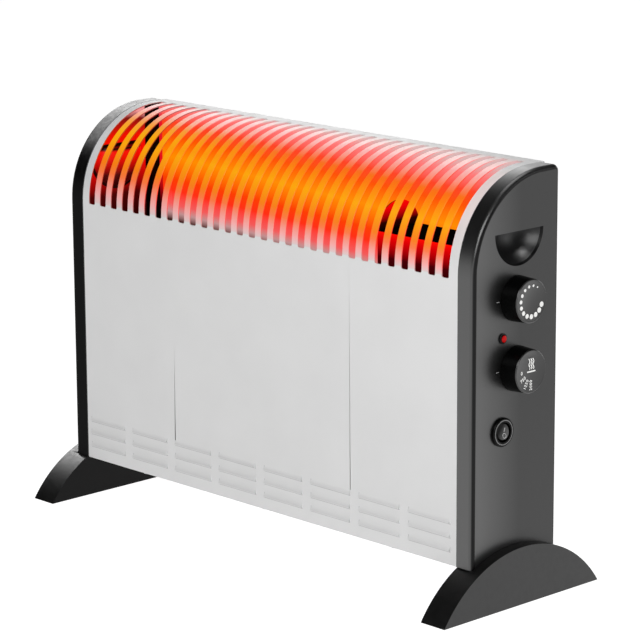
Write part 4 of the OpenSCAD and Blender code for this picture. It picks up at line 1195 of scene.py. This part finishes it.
# %% Knobs
FACE_X = box_of("thermostat_knob")[1].x
KNOB_RIM = 0.9 * MM
RIM_SLOPE = 0.25 * MM
RECESS = 0.2 * MM

for node, body in (("thermostat_knob", "thermostat_dial"), ("selector_knob", "selector_dial")):
    knob = skin(node, body, "knob_plastic", knob_plastic, 0.3 * MM)
    edit(knob)
    select_faces(knob, lambda centre, normal: centre.x > FACE_X - NEAR and normal.x > 0.99)
    bpy.ops.mesh.inset(thickness=KNOB_RIM)
    bpy.ops.mesh.inset(thickness=RIM_SLOPE, depth=-RECESS)
    done()
    print(node, "has its face let in by", round(1000 * RECESS, 2), "mm")

# %% [markdown]
# A print could be an image, but an image needs an unwrapped face and blurs near by. Thin shapes stay
# sharp at any distance. They are drawn facing up, stood on the face that looks to the right, and
# joined, so that each knob carries one print.

# %% Helpers for prints
PRINT_DEPTH = 0.06 * MM
PRINT_X = FACE_X - RECESS + 0.02 * MM
THERMOSTAT_Z = 275 * MM
SELECTOR_Z = 212.7 * MM


def face_on(part, x, y, z, angle=0.0):
    """Stands a shape drawn in the floor plane on a face that looks along +X."""
    turn = Matrix.Rotation(math.pi / 2, 4, "Z") @ Matrix.Rotation(math.pi / 2, 4, "X")
    part.matrix_world = Matrix.Translation((x, y, z)) @ turn @ Matrix.Rotation(angle, 4, "Z")
    return part


def round_axis(axis_z, degrees, reach):
    """A place on a knob's face, by its angle and its distance from the axis."""
    angle = math.radians(degrees)
    return PRINT_X, reach * math.cos(angle), axis_z + reach * math.sin(angle)


def printed(name, parts, body, slot, finish):
    """Joins thin shapes into one print."""
    return hand_over(join(parts), name, body, slot, finish.material)


print("the prints lie", round(1000 * (FACE_X - PRINT_X), 2), "mm below the rims")

# %% [markdown]
# On the thermostat's knob thirteen dots grow with the heat that they stand for, the first ones faster
# than the last.

# %% Growing dots
DOT_COUNT = 13
FIRST_DOT = 57
DOT_STEP = 23.6
DOT_REACH = 13.6 * MM

dots = []
for k in range(DOT_COUNT):
    size = (0.75 + 1.7 * (k / (DOT_COUNT - 1)) ** 0.6) * MM
    bpy.ops.mesh.primitive_cylinder_add(vertices=32, radius=size, depth=PRINT_DEPTH)
    place = round_axis(THERMOSTAT_Z, FIRST_DOT + DOT_STEP * k, DOT_REACH)
    dots.append(face_on(bpy.context.object, *place))
printed("thermostat_dots", dots, "thermostat_dial", "knob_plastic", print_ink)
print("dots:", DOT_COUNT)

# %% [markdown]
# The selector's knob has four numbers and the common sign for heat: three waves that rise from a bar.
# The built-in font is plain enough for the numbers. A bar is a flat block, and a wave is a curve with
# a bevel depth, pressed flat.

# %% Helpers for words, bars and waves


def words(text, size):
    bpy.ops.object.text_add()
    part = bpy.context.object
    part.data.body = text
    part.data.size = size
    part.data.align_x = "CENTER"
    part.data.align_y = "CENTER"
    part.data.extrude = PRINT_DEPTH / 2
    part.data.offset = 0.02 * size
    part.data.space_character = 1.15
    return part


def bar(width, height):
    bpy.ops.mesh.primitive_cube_add(size=1, scale=(width, height, PRINT_DEPTH))
    settle(bpy.context.object)
    return bpy.context.object


def wave(side):
    """One rising wave of hot air, left of the middle, in it or right of it."""
    bpy.ops.curve.primitive_nurbs_path_add()
    part = bpy.context.object
    spline = part.data.splines[0]
    spline.points.add(3)
    for k, knot in enumerate(spline.points):
        knot.co = ((side * 2.5 + 1.1 * math.sin(k * math.pi / 2)) * MM, (2 + 1.45 * k) * MM, 0, 1)
    part.data.bevel_depth = 0.6 * MM
    part.data.bevel_resolution = 2
    part.scale.z = 0.1
    settle(part)
    return part


print("one wave is", wave.__doc__.lower())

# %% [markdown]
# Each number is turned so that it stands upright when it is at the pointer, and the sign stands
# upright at rest.

# %% Numbers and the heat sign
signs = []
for text, degrees, reach in (("0", 180, 11.7), ("750", 211, 11.4), ("1250", 241, 12.3), ("2000", 271, 12.2)):
    place = round_axis(SELECTOR_Z, degrees, reach * MM)
    signs.append(face_on(words(text, 4.2 * MM), *place, math.radians(degrees + 180)))
signs.append(face_on(bar(10.6 * MM, 1.3 * MM), PRINT_X, 0.5 * MM, SELECTOR_Z + 0.1 * MM))
for side in (-1, 0, 1):
    signs.append(face_on(wave(side), PRINT_X, 0.5 * MM, SELECTOR_Z))
printed("selector_signs", signs, "selector_dial", "knob_plastic", print_ink)
print("shapes in the selector's print:", len(signs))

# %% [markdown]
# On the cap beside each knob a short pale line is its pointer. It stays on the case while the knob
# turns.

# %% Pointer lines
CAP_X = box_of("right_cap")[1].x
POINTER_Y = -23.6 * MM

pale_print = plastic("pale_print", (165, 165, 165), 0.5, 0.6, grain=0.2 * MM, depth=0.004 * MM)
pointers = []
for z in (THERMOSTAT_Z, SELECTOR_Z):
    pointers.append(face_on(bar(3.4 * MM, 0.5 * MM), CAP_X + 0.01 * MM, POINTER_Y, z))
printed("knob_pointers", pointers, "housing", "cap_plastic", pale_print)
print("pointers:", len(pointers))

# %% [markdown]
# The rocker is marked I for on and O for off. Its face is hollow, so a flat mark would sink into it
# or float. Each mark is drawn as a thin flat shape with enough points, thrown onto the rocker by a
# shrinkwrap along X, and thickened there.

# %% Signs on the switch
ROCKER_X = box_of("switch_rocker")[1].x
STROKE_WIDTH = 0.95 * MM
STROKE_HEIGHT = 3.6 * MM
RING_RADIUS = 2.4 * MM
RING_WIDTH = 0.75 * MM

bpy.ops.mesh.primitive_grid_add(x_subdivisions=3, y_subdivisions=12, size=1)
stroke = bpy.context.object
stroke.scale = (STROKE_WIDTH, STROKE_HEIGHT, 1)
settle(stroke)
bpy.ops.mesh.primitive_circle_add(vertices=40, radius=RING_RADIUS, fill_type="NGON")
ring = bpy.context.object
edit(ring, "SELECT")
bpy.ops.mesh.inset(thickness=RING_WIDTH)
bpy.ops.mesh.delete(type="FACE")
done()
marks = [stroke, ring]
for mark, right, up, slant in ((stroke, 2.0, 2.0, -0.4), (ring, 0.9, -3.0, 0.0)):
    face_on(mark, ROCKER_X + 2 * MM, SMALL_Y + right * MM, SWITCH_Z + up * MM, slant)
    settle(mark)
    wrap = mark.modifiers.new("wrap", "SHRINKWRAP")
    wrap.target = bpy.data.objects["switch_rocker_skin"]
    wrap.wrap_method = "PROJECT"
    wrap.use_project_x = True
    wrap.use_negative_direction = True
    wrap.use_positive_direction = False
    wrap.offset = 0.03 * MM
    thin = mark.modifiers.new("thin", "SOLIDIFY")
    thin.thickness = 0.04 * MM
    thin.offset = 1
    apply_modifiers(mark)
printed("switch_signs", marks, "rocker", "switch_plastic", pale_print)
print("signs on the rocker:", len(marks))

# %% [markdown]
# ## Floor
#
# The heater stands on a white floor without an edge, as in a product studio. The floor shines by
# itself, so that it stays white everywhere and shadows on it are faint. It is stage and not part of
# the heater.

# %% Lay the floor
bpy.ops.mesh.primitive_plane_add(size=40, location=(0, 0, 0))
floor = bpy.context.object
floor.name = "floor"
floor_white = Finish("floor_white", (0.25, 0.25, 0.25, 1), 0.9)
floor_white.shader.inputs["Emission Color"].default_value = (1, 1, 1, 1)
floor_white.shader.inputs["Emission Strength"].default_value = 0.98
floor.data.materials.append(floor_white.material)
print("floor:", floor.name)

# %% [markdown]
# ## Lights
#
# A soft light is a large one: the larger the panel, the softer the shadow's edge and the wider the
# highlight. Four panels light everything, from the front, the side, the top and the sky.

# %% Four studio lights


def softbox(name, at, aim, width, height, power):
    """A rectangular area light that points at aim."""
    light = bpy.data.objects.new(name, bpy.data.lights.new(name, "AREA"))
    bpy.context.scene.collection.objects.link(light)
    light.data.shape = "RECTANGLE"
    light.data.size = width
    light.data.size_y = height
    light.data.energy = power
    light.location = at
    light.rotation_euler = (Vector(aim) - Vector(at)).to_track_quat("-Z", "Y").to_euler()
    light.visible_camera = False
    return light


softbox("front_light", (1.0, -1.0, 1.0), (0.25, -0.05, 0.25), 0.9, 0.7, 12)
softbox("side_light", (2.2, 1.2, 1.0), (0.27, 0, 0.2), 1.1, 0.8, 3.5)
softbox("top_light", (-1.0, 0.85, 1.0), (0.0, 0.6, 0.6), 0.8, 0.9, 4.5)
softbox("sky_light", (0.1, 0.45, 2.3), (0, 0, 0.3), 1.6, 1.3, 12)
print("lights:", len(bpy.data.lights))

# %% [markdown]
# Dark plastic shows little but reflections, and in a studio small cards are held beside it until each
# edge reads. Light linking does the same: four more panels each shine on one piece alone, the left
# cap, the left foot and the right finger bowl.

# %% Four lights for single pieces


def only_on(piece, *lights):
    """Lets the lights shine on one piece alone."""
    group = bpy.data.collections.new(piece + "_lit")
    group.objects.link(bpy.data.objects[piece])
    for light in lights:
        light.light_linking.receiver_collection = group


only_on(
    "left_cap_skin",
    softbox("rim_light", (-1.0, 0.1, 1.0), (0.0, 0.1, 0.6), 1.0, 0.3, 22),
    softbox("low_rim_light", (-1.0, 0.65, 0.64), (-0.26, 0.03, 0.386), 0.5, 0.4, 2),
)
only_on("left_foot_skin", softbox("foot_light", (-1.1, 0.15, 0.66), (-0.26, -0.07, 0.03), 0.5, 0.45, 11))
only_on("right_grip_cup_skin", softbox("grip_light", (0.97, 0.14, 1.74), (0.26, 0.0, 0.33), 0.5, 0.4, 9))
print("lights:", len(bpy.data.lights))

# %% [markdown]
# The room itself is bright near the horizon and nearly dark above. Towards the back the bright band
# reaches higher. This gives the upright faces an even light and leaves the top faces to the panels.

# %% The room
world = bpy.data.worlds.new("studio")
bpy.context.scene.world = world
world.use_nodes = True
room = world.node_tree
background = room.nodes["Background"]
toward = room.nodes.new("ShaderNodeSeparateXYZ")
room.links.new(room.nodes.new("ShaderNodeTexCoord").outputs["Generated"], toward.inputs[0])
band_low = map_range(room, toward.outputs["Y"], -0.2, 0.3, 0.05, 0.19)
band_top = map_range(room, toward.outputs["Y"], -0.2, 0.3, 0.15, 0.36)
horizon = map_range(room, toward.outputs["Z"], band_low, band_top, 1.0, 0.03)
room.links.new(horizon, background.inputs["Strength"])
background.inputs["Color"].default_value = (1, 1, 1, 1)
bpy.context.scene.view_settings.view_transform = "Standard"
print("the room has", len(room.nodes), "nodes")

# %% [markdown]
